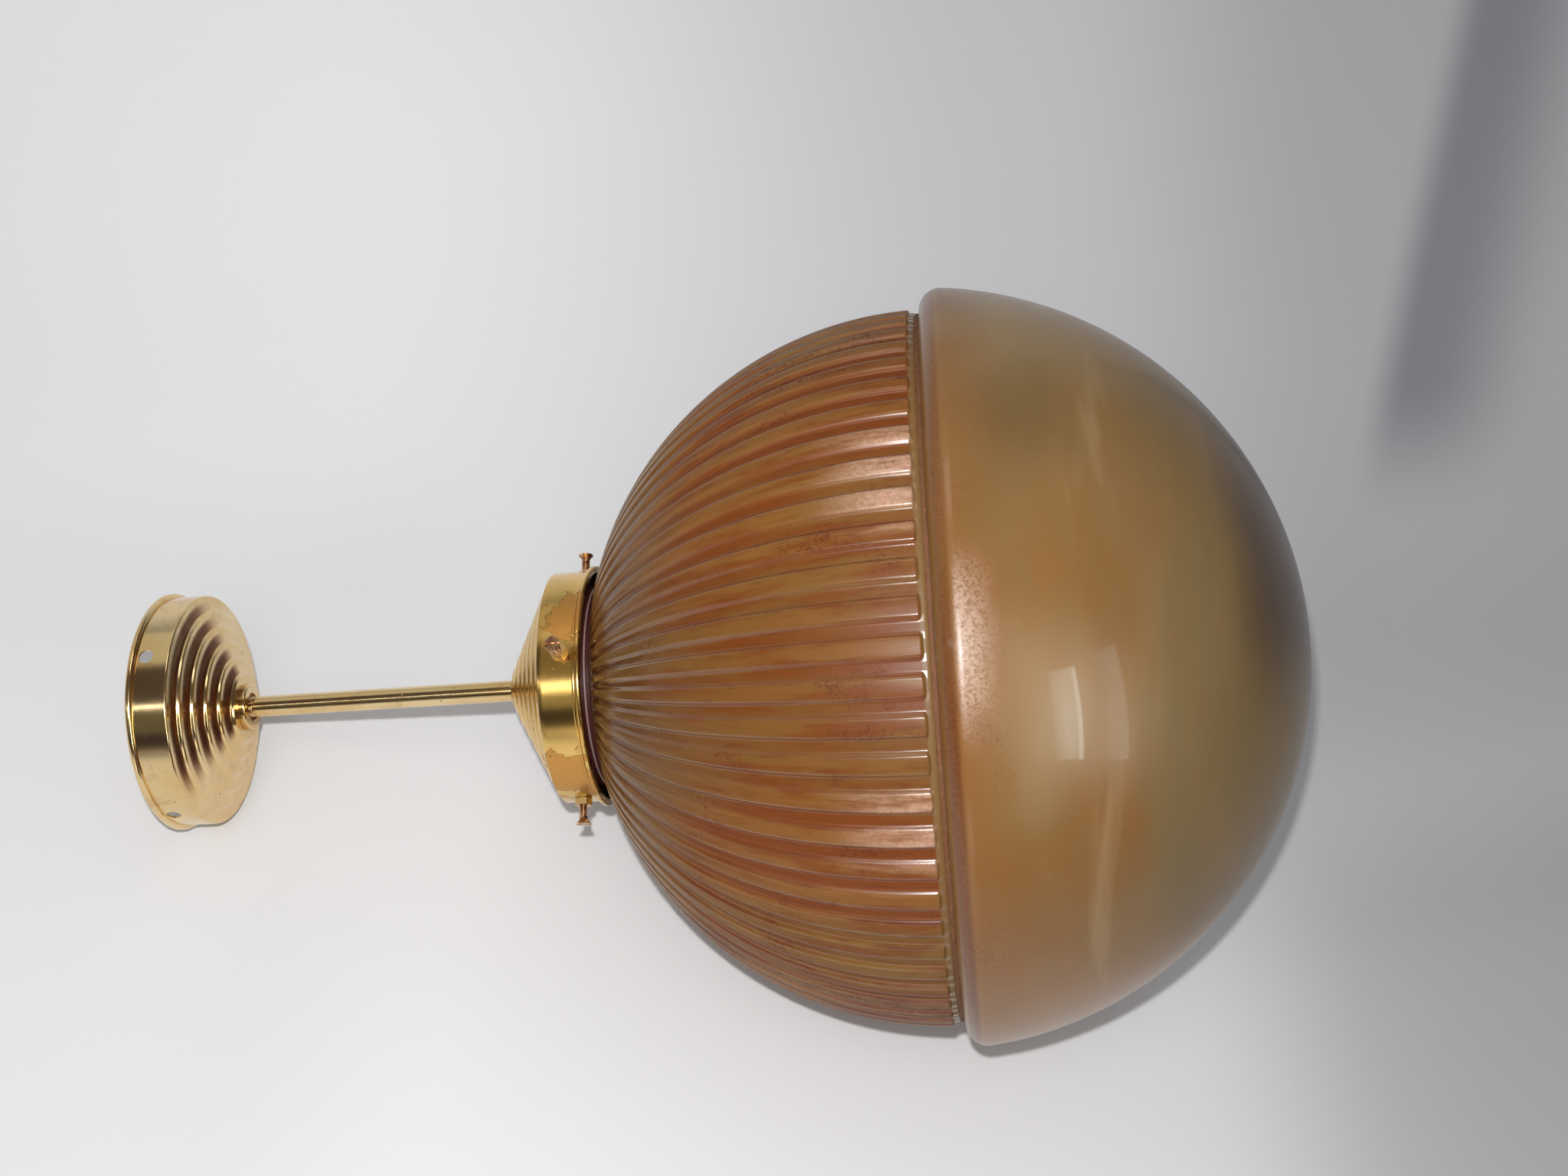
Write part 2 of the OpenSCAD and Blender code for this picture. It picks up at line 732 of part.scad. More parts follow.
module terminal_screws() {
    shank = block_t / 2 - 0.6;
    color(steel)
        for (x = [live_x, neutral_x])
            translate([x, 0, -web_top + block_t])
                difference() {
                    union() {
                        cylinder(r = terminal_head_r, h = terminal_head_t);
                        translate([0, 0, -shank])
                            cylinder(r = terminal_screw_r, h = shank + 0.5);
                    }
                    translate([-terminal_head_r - 1, -slot_w / 2, terminal_head_t * 0.55])
                        cube([2 * terminal_head_r + 2, slot_w, terminal_head_t]);
                }
}

// The live rivet, with a raised head under the sprung tongue
module raised_rivet() {
    head_drop = web_bottom + 2 * tongue_gap + tongue_t;
    translate([live_rivet_x, 0, -head_drop - rivet_head_t]) {
        cylinder(r = rivet_head_r, h = rivet_head_t);
        cylinder(r = rivet_r, h = head_drop + rivet_head_t - web_top);
    }
}

// The neutral rivet, flush with the screw shell's floor, or its hole: wider and longer by a gap
module flush_rivet(gap, past) {
    floor_drop = shell_top + shell_t;
    translate([neutral_x, 0, 0])
        turned(concat(
            [[0, web_top - past],
                [rivet_r + gap, web_top - past],
                [rivet_r + gap, floor_drop - flush_head_t],
                [flush_head_r + gap, floor_drop]],
            past > 0 ? [[flush_head_r + gap, floor_drop + past]] : [],
            [[0, floor_drop + past]]));
}

module contact_rivets() {
    color(copper) {
        raised_rivet();
        flush_rivet(0, 0);
    }
}

module holder_screws() {
    head = holder_bottom - holder_screw_sunk;
    color(steel)
        for (side = [-1, 1])
            translate([0, side * holder_screw_y, -head])
                difference() {
                    union() {
                        translate([0, 0, -holder_screw_head_t])
                            cylinder(r = holder_screw_head_r, h = holder_screw_head_t);
                        cylinder(r = holder_screw_r, h = head - holder_joint + holder_screw_up);
                    }
                    translate([-holder_screw_head_r - 1, -slot_w / 2, -holder_screw_head_t - 1])
                        cube([2 * holder_screw_head_r + 2, slot_w, 1.9]);
                }
}

canopy();
canopy_boss();
canopy_washer();
canopy_lock_nut();
stem_tube();
gallery();
gallery_washer();
gallery_lock_nut();
screw_nuts();
shade_screw_1();
shade_screw_2();
shade_screw_3();
shade_screw_4();
reflector_glass();
cement_ring();
bowl_glass();
holder_ring_nut();
entry_bush();
holder_cap();
holder_body();
screw_shell();
centre_contact();
live_terminal();
neutral_terminal();
terminal_screws();
contact_rivets();
holder_screws();
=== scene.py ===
"""Pendant light: pressed brass canopy, tube stem, shade gallery and a two-part glass globe.

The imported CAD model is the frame. Most turned and pressed pieces are rebuilt here at full
resolution over their CAD nodes, and every piece gets a procedural finish. Sizes of the light and
places on it are in millimetres, as in the CAD source, and a "drop" is a depth under the canopy's
open rim. The studio round the light is in metres.
"""

import functools
import logging
import math
import operator
from dataclasses import dataclass
from enum import Enum
from typing import Any, Callable, Mapping, Optional, Sequence, Union

import bmesh
import bpy
from mathutils import Matrix, Vector


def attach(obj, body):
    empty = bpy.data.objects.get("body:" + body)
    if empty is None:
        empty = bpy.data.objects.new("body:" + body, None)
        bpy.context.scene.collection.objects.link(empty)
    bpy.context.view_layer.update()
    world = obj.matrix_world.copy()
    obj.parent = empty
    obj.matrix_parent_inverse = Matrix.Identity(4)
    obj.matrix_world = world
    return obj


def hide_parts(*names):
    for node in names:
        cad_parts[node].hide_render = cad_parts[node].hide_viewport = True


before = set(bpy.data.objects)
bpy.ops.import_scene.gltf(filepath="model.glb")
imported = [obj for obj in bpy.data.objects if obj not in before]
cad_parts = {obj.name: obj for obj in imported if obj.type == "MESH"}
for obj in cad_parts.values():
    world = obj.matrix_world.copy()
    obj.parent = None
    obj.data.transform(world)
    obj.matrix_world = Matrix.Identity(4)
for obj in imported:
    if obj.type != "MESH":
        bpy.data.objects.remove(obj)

LOG = logging.getLogger("pendant")
MM = 0.001
GLASS_IOR = 1.5

Point = tuple[float, float]
Span = tuple[float, float]
Colour = tuple[float, float, float]
Place = tuple[float, float, float]


class Slot(Enum):
    """The record's material slots."""

    POLISHED_BRASS = "polished_brass"
    TARNISHED_BRASS = "tarnished_brass"
    COPPER_BROWN_BRASS = "copper_brown_brass"
    STEEL = "steel"
    COPPER = "copper"
    TERMINAL_BRASS = "terminal_brass"
    AMBER_GLASS = "amber_glass"
    SMOKY_GLASS = "smoky_glass"
    CEMENT = "cement"
    PORCELAIN = "porcelain"


class Ray(Enum):
    """The sorts of ray that each see the room in their own way."""

    CAMERA = "Is Camera Ray"
    GLOSSY = "Is Glossy Ray"
    TRANSMISSION = "Is Transmission Ray"


# Shader graphs


class Value:
    """One output of a shader node. Arithmetic on it adds Math nodes."""

    def __init__(self, graph: "Graph", socket: Optional[bpy.types.NodeSocket]) -> None:
        """Wraps a socket.

        Args:
            graph: the graph that holds the socket's node.
            socket: the output to wrap, or None for an output node, which has none.
        """
        self.graph = graph
        self.socket = socket

    def _math(self, operation: str, first: "Number", second: "Number" = 0.0) -> "Value":
        """Adds one Math node and returns its result."""
        return self.graph.node("ShaderNodeMath", {"operation": operation}, {0: first, 1: second})

    def __add__(self, other: "Number") -> "Value":
        """self + other."""
        return self._math("ADD", self, other)

    __radd__ = __add__

    def __sub__(self, other: "Number") -> "Value":
        """self - other."""
        return self._math("SUBTRACT", self, other)

    def __rsub__(self, other: "Number") -> "Value":
        """other - self."""
        return self._math("SUBTRACT", other, self)

    def __mul__(self, other: "Number") -> "Value":
        """self * other."""
        return self._math("MULTIPLY", self, other)

    __rmul__ = __mul__

    def __truediv__(self, other: "Number") -> "Value":
        """self / other."""
        return self._math("DIVIDE", self, other)

    def __mod__(self, other: "Number") -> "Value":
        """The part of self left over after whole steps of other, never negative."""
        return self._math("FLOORED_MODULO", self, other)

    def __abs__(self) -> "Value":
        """The size of self."""
        return self._math("ABSOLUTE", self)

    def cosine(self) -> "Value":
        """The cosine of self in radians."""
        return self._math("COSINE", self)

    def bearing(self, ahead: "Number") -> "Value":
        """The bearing, in radians, of a point that lies self to the side and so far ahead."""
        return self._math("ARCTAN2", self, ahead)

    def ramp(self, low: float, high: float) -> "Value":
        """A smooth step from 0 at low to 1 at high. It falls where low is above high."""
        return self.graph.node(
            "ShaderNodeMapRange",
            {"interpolation_type": "SMOOTHSTEP"},
            {"Value": self, "From Min": low, "From Max": high},
        )

    def over(self, span: Span) -> "Value":
        """A smooth step along a length, from 0 at a span's first millimetre to 1 at its second."""
        return self.ramp(span[0] * MM, span[1] * MM)


Number = Union[float, Value]
Input = Union[float, int, Sequence[float], Value]


def total(values: Sequence[Value]) -> Value:
    """The sum of one or more values."""
    return functools.reduce(operator.add, values)


@dataclass(frozen=True)
class Grain:
    """A layer of cloudy noise.

    Attributes:
        scale: clouds to the metre.
        detail: octaves.
        rough: weight of the finer octaves.
        warp: how far the clouds fold into each other.
        limits: the noise that counts as 0 and as 1, or None for the noise as it comes.
        stretch: how many times closer the clouds lie along each axis.
        shift: how far the clouds are then moved along each axis.
    """

    scale: float
    detail: float = 3.0
    rough: float = 0.5
    warp: float = 0.0
    limits: Optional[Span] = None
    stretch: Optional[Place] = None
    shift: Place = (0, 0, 0)


@dataclass(frozen=True)
class Patch:
    """A round patch with a ragged edge: its centre and its mean radius."""

    centre: Place
    radius: float


@dataclass(frozen=True)
class Ring:
    """A ring round the hanging axis with soft edges.

    Attributes:
        inner: radii at which it starts and is full.
        outer: radii at which it ends and is still full.
        height: heights at which it starts and is full.
    """

    inner: Span
    outer: Span
    height: Span


class Graph:
    """A node tree, and the one method that adds nodes to it."""

    def __init__(self, tree: bpy.types.NodeTree) -> None:
        """Empties the tree.

        Args:
            tree: the tree of a material or world that uses nodes.
        """
        self.tree = tree
        tree.nodes.clear()

    def node(
        self,
        kind: str,
        settings: Optional[Mapping[str, Any]] = None,
        inputs: Optional[Mapping[Union[str, int], Input]] = None,
        output: Union[str, int] = 0,
    ) -> Value:
        """Adds a node.

        Args:
            kind: the node's Blender type.
            settings: properties of the node, set first.
            inputs: values or links of its sockets, by name, identifier or number.
            output: the output that is returned.

        Returns:
            The chosen output.
        """
        made = self.tree.nodes.new(kind)
        for name, setting in (settings or {}).items():
            setattr(made, name, setting)
        for key, value in (inputs or {}).items():
            socket = self._socket(made.inputs, key)
            if isinstance(value, Value):
                self.tree.links.new(value.socket, socket)
            elif isinstance(value, (int, float)):
                socket.default_value = value
            else:
                padded = tuple(value) + (1.0,) * (len(socket.default_value) - len(value))
                socket.default_value = padded
        return Value(self, self._socket(made.outputs, output) if made.outputs else None)

    @staticmethod
    def _socket(sockets: Any, key: Union[str, int]) -> bpy.types.NodeSocket:
        """Finds a socket by identifier, or else by number or name."""
        matches = [socket for socket in sockets if socket.identifier == key]
        return matches[0] if matches else sockets[key]

    def place(self) -> Value:
        """The shaded point in the piece's own metres."""
        return self.node("ShaderNodeTexCoord", output="Object")

    def parts(self, vector: Value) -> tuple[Value, ...]:
        """A vector's x, y and z."""
        split = self.node("ShaderNodeSeparateXYZ", inputs={0: vector}).socket.node
        return tuple(Value(self, socket) for socket in split.outputs)

    def vector(self, x: Number, y: Number, z: Number) -> Value:
        """A vector from three numbers."""
        return self.node("ShaderNodeCombineXYZ", inputs={0: x, 1: y, 2: z})

    def vectors(self, operation: str, *inputs: Input, output: str = "Vector") -> Value:
        """Vector maths on one or two vectors. The output Value is for a result that is a number."""
        settings = {"operation": operation}
        return self.node("ShaderNodeVectorMath", settings, dict(enumerate(inputs)), output)

    def noise(self, vector: Value, grain: Grain) -> Value:
        """Cloudy noise from 0 to 1.

        Args:
            vector: where it is read.
            grain: the layer of noise.

        Returns:
            The noise's value, stepped where the grain has limits.
        """
        if grain.stretch:
            vector = self.node(
                "ShaderNodeMapping", {"vector_type": "POINT"},
                {"Vector": vector, "Scale": grain.stretch, "Location": grain.shift},
            )
        clouds = self.node("ShaderNodeTexNoise", {"noise_dimensions": "3D"}, {
            "Vector": vector, "Scale": grain.scale, "Detail": grain.detail,
            "Roughness": grain.rough, "Distortion": grain.warp})
        return clouds.ramp(*grain.limits) if grain.limits else clouds

    def cells(self, vector: Value, scale: float) -> Value:
        """The distance to the nearest of many scattered points, in cells."""
        return self.node("ShaderNodeTexVoronoi", {"feature": "F1"},
                         {"Vector": vector, "Scale": scale}, "Distance")

    def spot(self, vector: Value, patch: Patch, ragged: Value) -> Value:
        """How far inside a ragged patch a point is, above 0 inside it.

        Args:
            vector: the point.
            patch: the patch.
            ragged: noise, from 0 to 0.5, that bends its edge.

        Returns:
            The height over the patch's edge, as a share of its radius.
        """
        centre = tuple(part * MM for part in patch.centre)
        reach = self.vectors("DISTANCE", vector, centre, output="Value")
        return 2.0 - reach / (patch.radius * MM) - ragged * 4

    def mixed(self, share: Number, first: Input, second: Input) -> Value:
        """A colour between two, by how much of the second is used, from 0 to 1."""
        return self.node(
            "ShaderNodeMix",
            {"data_type": "RGBA", "blend_type": "MIX", "clamp_factor": True},
            {"Factor_Float": share, "A_Color": first, "B_Color": second},
            "Result_Color",
        )

    def layered(self, colour: Input, *layers: tuple[Number, Input]) -> Input:
        """A colour with others laid over it.

        Args:
            colour: the colour underneath.
            layers: each layer's share, from 0 to 1, and its colour, from the lowest up.

        Returns:
            The colour that shows.
        """
        for share, cover in layers:
            colour = self.mixed(share, colour, cover)
        return colour

    def bump(self, height: Value, strength: float, reach: float) -> Value:
        """A normal bent by a height.

        Args:
            height: the height, from 0 to 1.
            strength: share of the effect.
            reach: millimetres from height 0 to 1.

        Returns:
            The bent normal.
        """
        return self.node("ShaderNodeBump", inputs={
            "Height": height, "Strength": strength, "Distance": reach * MM})

    def surface(self, **inputs: Input) -> Value:
        """A Principled shader. A socket's name is written with underscores for its spaces."""
        named = {name.replace("_", " "): value for name, value in inputs.items()}
        return self.node("ShaderNodeBsdfPrincipled", {"distribution": "MULTI_GGX"}, named)

    def blend(self, share: Value, first: Value, second: Value) -> Value:
        """A shader between two, by how much of the second is used, from 0 to 1."""
        return self.node("ShaderNodeMixShader", inputs={0: share, 1: first, 2: second})

    def finish(self, shader: Value) -> None:
        """Joins a shader to the material's output."""
        self.node("ShaderNodeOutputMaterial", inputs={"Surface": shader})


def new_material(name: str, paint: Callable[[Graph], Value]) -> bpy.types.Material:
    """Makes a material.

    Args:
        name: its name.
        paint: builds its shader in an empty graph.

    Returns:
        The material.
    """
    made = bpy.data.materials.new(name)
    made.use_nodes = True
    graph = Graph(made.node_tree)
    graph.finish(paint(graph))
    LOG.info("material %s: %d nodes", name, len(made.node_tree.nodes))
    return made


# Finishes of the light


class Finish:
    """A material that is made once and shared by the pieces that have it."""

    slot: Slot

    def paint(self, graph: Graph) -> Value:
        """Builds the shader in an empty graph and returns it."""
        raise NotImplementedError(type(self).__name__)

    def material(self) -> bpy.types.Material:
        """The finish as a Blender material."""
        name = self.slot.value + "_finish"
        return bpy.data.materials.get(name) or new_material(name, self.paint)

    def dress(self, piece: bpy.types.Object) -> None:
        """Puts the finish on all of a piece.

        Args:
            piece: a piece of the scene, or a CAD node's object.
        """
        material = self.material()
        if not piece.data.materials:
            piece.data.materials.append(material)
        for place in piece.material_slots:
            place.material = material


@dataclass(frozen=True)
class PolishedBrass(Finish):
    """Pale polished brass with fine turning lines, soft smears, red-brown stains, pits and painted
    shade.
    """

    slot: Slot = Slot.POLISHED_BRASS
    pale: Colour = (0.82, 0.64, 0.35)
    warm: Colour = (0.74, 0.50, 0.22)
    stain: Colour = (0.40, 0.19, 0.09)
    pit: Colour = (0.10, 0.04, 0.02)
    # The colour of the painted shade in the canopy's coves, round its boss and in its recess
    dirt_and_shade: Colour = (0.20, 0.080, 0.038)
    polish: float = 0.10
    cloud: Grain = Grain(22, warp=0.6)
    film: Grain = Grain(75, 5, 0.62, 1.2, (0.52, 0.78))
    lines: Grain = Grain(380, 4, 0.6, stretch=(1, 1, 9))
    dust: Grain = Grain(1300, 3, 0.6)
    pitted: Grain = Grain(60, 2, limits=(0.52, 0.64))
    pit_scale: float = 190
    pit_edge: Span = (0.12, 0.04)
    # Where the painted shade lies: on the coves' walls on the side away from +Y, in a ring round
    # the boss's base and in the boss's recess
    cone_r: float = 55.4
    step_r: float = 7.78
    cone_z: Span = (-18.6, -19.6)
    cone_reach: Span = (15.0, 17.0)
    cove_start: Span = (0.26, 0.52)
    cove_end: Span = (1.0, 0.93)
    front: Span = (0.30, 0.75)
    front_lean: float = 0.35
    boss_shade_ring: Ring = Ring((9.0, 10.0), (11.9, 11.5), (-36.2, -35.6))
    recess: Ring = Ring((5.0, 5.1), (6.9, 6.6), (-38.1, -37.6))

    def paint(self, graph: Graph) -> Value:
        """Builds the shader.

        Args:
            graph: an empty graph.

        Returns:
            The shader.
        """
        place = graph.place()
        cloud = graph.noise(place, self.cloud)
        film = graph.noise(place, self.film)
        lines = graph.noise(place, self.lines)
        dust = graph.noise(place, self.dust)
        pits = (graph.cells(place, self.pit_scale).ramp(*self.pit_edge)
                * graph.noise(place, self.pitted))
        coves = self._painted_shade(graph, place) * (0.45 + cloud * 0.8)
        colour = graph.layered(
            self.pale,
            (cloud.ramp(0.3, 0.7), self.warm),
            (film * 0.45, self.stain),
            # Painted shade in the coves, round the boss and in the recess
            (coves * 1.2, self.dirt_and_shade),
            (pits * 0.9, self.pit),
        )
        height = lines * 0.45 + dust * 0.25 + film * 0.15 - pits + cloud * 1.6
        return graph.surface(
            Base_Color=colour,
            Metallic=1 - pits * 0.6,
            Roughness=film * 0.12 + lines * 0.07 + pits * 0.3 + coves * 0.16 + self.polish,
            Normal=graph.bump(height, 0.4, 0.05),
        )

    def _painted_shade(self, graph: Graph, place: Value) -> Value:
        """Painted shade in the canopy's coves, round its boss and in its recess.

        Args:
            graph: the graph.
            place: the shaded point.

        Returns:
            The painted shade's share, most of it on the side away from +Y.
        """
        x, y, z = graph.parts(place)
        reach = graph.vectors("LENGTH", graph.vector(x, y, 0.0), output="Value")
        phase = ((self.cone_r * MM - reach) / (self.step_r * MM)) % 1.0
        cone = z.over(self.cone_z) * reach.over(self.cone_reach)
        front = ((self.front_lean * x - y) / reach).ramp(*self.front)
        steps = phase.ramp(*self.cove_start) * phase.ramp(*self.cove_end) * cone * front
        ring, recess = (reach.over(shade_ring.outer) * z.over(shade_ring.height) * reach.over(shade_ring.inner)
                        for shade_ring in (self.boss_shade_ring, self.recess))
        return steps + ring * 0.2 + recess


@dataclass(frozen=True)
class TarnishedBrass(Finish):
    """Yellow brass whose lacquer has gone in patches, with orange-brown tarnish there."""

    slot: Slot = Slot.TARNISHED_BRASS
    bright: Colour = (0.78, 0.51, 0.16)
    olive: Colour = (0.66, 0.44, 0.14)
    tarnish: Colour = (0.48, 0.20, 0.035)
    edge: Colour = (0.20, 0.08, 0.02)
    pit: Colour = (0.07, 0.03, 0.015)
    cloud: Grain = Grain(26, warp=0.8)
    shore: Grain = Grain(85, 6, 0.66, 0.9, (0.25, 0.75))
    lines: Grain = Grain(480, 4, 0.6, stretch=(1, 1, 9))
    fine: Grain = Grain(1400, 3, 0.6)
    pit_scale: float = 240
    pit_edge: Span = (0.13, 0.05)
    patches: tuple[Patch, ...] = (
        Patch((-40, -38, -204), 12.5),
        Patch((34, -43, -206), 10.0),
        Patch((20, 50, -204), 18.0),
    )
    patch_edge: Span = (0.0, 0.03)
    halo: Span = (-0.10, 0.0)

    def paint(self, graph: Graph) -> Value:
        """Builds the shader.

        Args:
            graph: an empty graph.

        Returns:
            The shader.
        """
        place = graph.place()
        cloud = graph.noise(place, self.cloud)
        shore = graph.noise(place, self.shore) * 0.40
        depths = [graph.spot(place, patch, shore) for patch in self.patches]
        inner, outer = (total([depth.ramp(*edge) for depth in depths])
                        for edge in (self.patch_edge, self.halo))
        rim = outer * (1 - inner.ramp(0.2, 0.9))
        lines = graph.noise(place, self.lines)
        fine = graph.noise(place, self.fine)
        pits = graph.cells(place, self.pit_scale).ramp(*self.pit_edge) * cloud.ramp(0.42, 0.58)
        colour = graph.layered(
            self.bright,
            (cloud.ramp(0.35, 0.7), self.olive),
            (inner * (0.55 + lines * 0.4), self.tarnish),
            (rim * 0.9, self.edge),
            (pits * 0.9, self.pit),
        )
        height = lines * 0.5 + fine * 0.3 + cloud * 1.8 - inner * 0.3 - pits
        return graph.surface(
            Base_Color=colour,
            Metallic=1 - pits * 0.6 - inner.ramp(0.0, 1.2) * 0.2,
            Roughness=lines * 0.12 + inner * 0.14 + 0.11 + pits * 0.3,
            Normal=graph.bump(height, 0.45, 0.06),
        )


@dataclass(frozen=True)
class CopperBrownBrass(Finish):
    """Brass screws gone copper brown, brighter where they rub, dark in the thread."""

    slot: Slot = Slot.COPPER_BROWN_BRASS
    brown: Colour = (0.42, 0.20, 0.10)
    rubbed: Colour = (0.88, 0.58, 0.38)
    # Dark colour of the screws' grime
    dirt_and_shade: Colour = (0.05, 0.025, 0.015)
    wear: Grain = Grain(320, 4, 0.6, 0.8, (0.38, 0.60))
    grime: Grain = Grain(700, 4, 0.65, limits=(0.55, 0.72))
    grit: Grain = Grain(1500)

    def paint(self, graph: Graph) -> Value:
        """Builds the shader.

        Args:
            graph: an empty graph.

        Returns:
            The shader.
        """
        place = graph.place()
        wear = graph.noise(place, self.wear)
        grime = graph.noise(place, self.grime)
        return graph.surface(
            Base_Color=graph.layered(self.brown, (wear, self.rubbed), (grime * 0.7, self.dirt_and_shade)),
            Metallic=1 - grime * 0.6,
            Roughness=0.22 - wear * 0.10 + grime * 0.3,
            Normal=graph.bump(graph.noise(place, self.grit) - grime * 0.5, 0.4, 0.04),
        )


@dataclass(frozen=True)
class Steel(Finish):
    """Zinc-plated steel with dull spangles and a few rust specks."""

    slot: Slot = Slot.STEEL
    plate: Colour = (0.62, 0.62, 0.60)
    dull: Colour = (0.42, 0.42, 0.40)
    rust: Colour = (0.25, 0.09, 0.03)
    spangle_scale: float = 420
    specks: Grain = Grain(500, 5, 0.65, limits=(0.62, 0.72))
    waves: Grain = Grain(900)

    def paint(self, graph: Graph) -> Value:
        """Builds the shader.

        Args:
            graph: an empty graph.

        Returns:
            The shader.
        """
        place = graph.place()
        spangle = graph.cells(place, self.spangle_scale)
        specks = graph.noise(place, self.specks)
        return graph.surface(
            Base_Color=graph.layered(self.plate, (spangle, self.dull), (specks * 0.8, self.rust)),
            Metallic=1 - specks * 0.8,
            Roughness=0.3 + spangle * 0.12 + specks * 0.4,
            Normal=graph.bump(graph.noise(place, self.waves), 0.3, 0.03),
        )


@dataclass(frozen=True)
class Copper(Finish):
    """Drawn copper of the screw shell and contact, browned by heat."""

    slot: Slot = Slot.COPPER
    bright: Colour = (0.88, 0.47, 0.28)
    heated: Colour = (0.42, 0.17, 0.08)
    heat: Grain = Grain(120, 4, 0.6, 0.7, (0.4, 0.72))
    lines: Grain = Grain(300, stretch=(1, 1, 10))

    def paint(self, graph: Graph) -> Value:
        """Builds the shader.

        Args:
            graph: an empty graph.

        Returns:
            The shader.
        """
        place = graph.place()
        heat = graph.noise(place, self.heat)
        lines = graph.noise(place, self.lines)
        return graph.surface(
            Base_Color=graph.mixed(heat * 0.8, self.bright, self.heated),
            Metallic=1.0,
            Roughness=0.16 + heat * 0.2 + lines * 0.1,
            Normal=graph.bump(lines, 0.35, 0.03),
        )


@dataclass(frozen=True)
class TerminalBrass(Finish):
    """Machined brass of the terminals and the entry bush, with cutter lines."""

    slot: Slot = Slot.TERMINAL_BRASS
    cut: Colour = (0.80, 0.58, 0.26)
    dull: Colour = (0.52, 0.34, 0.14)
    lines: Grain = Grain(350, stretch=(1, 1, 14))
    age: Grain = Grain(150, 4, 0.6, limits=(0.4, 0.7))

    def paint(self, graph: Graph) -> Value:
        """Builds the shader.

        Args:
            graph: an empty graph.

        Returns:
            The shader.
        """
        place = graph.place()
        lines = graph.noise(place, self.lines)
        age = graph.noise(place, self.age)
        return graph.surface(
            Base_Color=graph.mixed(age, self.cut, self.dull),
            Metallic=1.0,
            Roughness=0.22 + lines * 0.14 + age * 0.14,
            Normal=graph.bump(lines, 0.4, 0.03),
        )


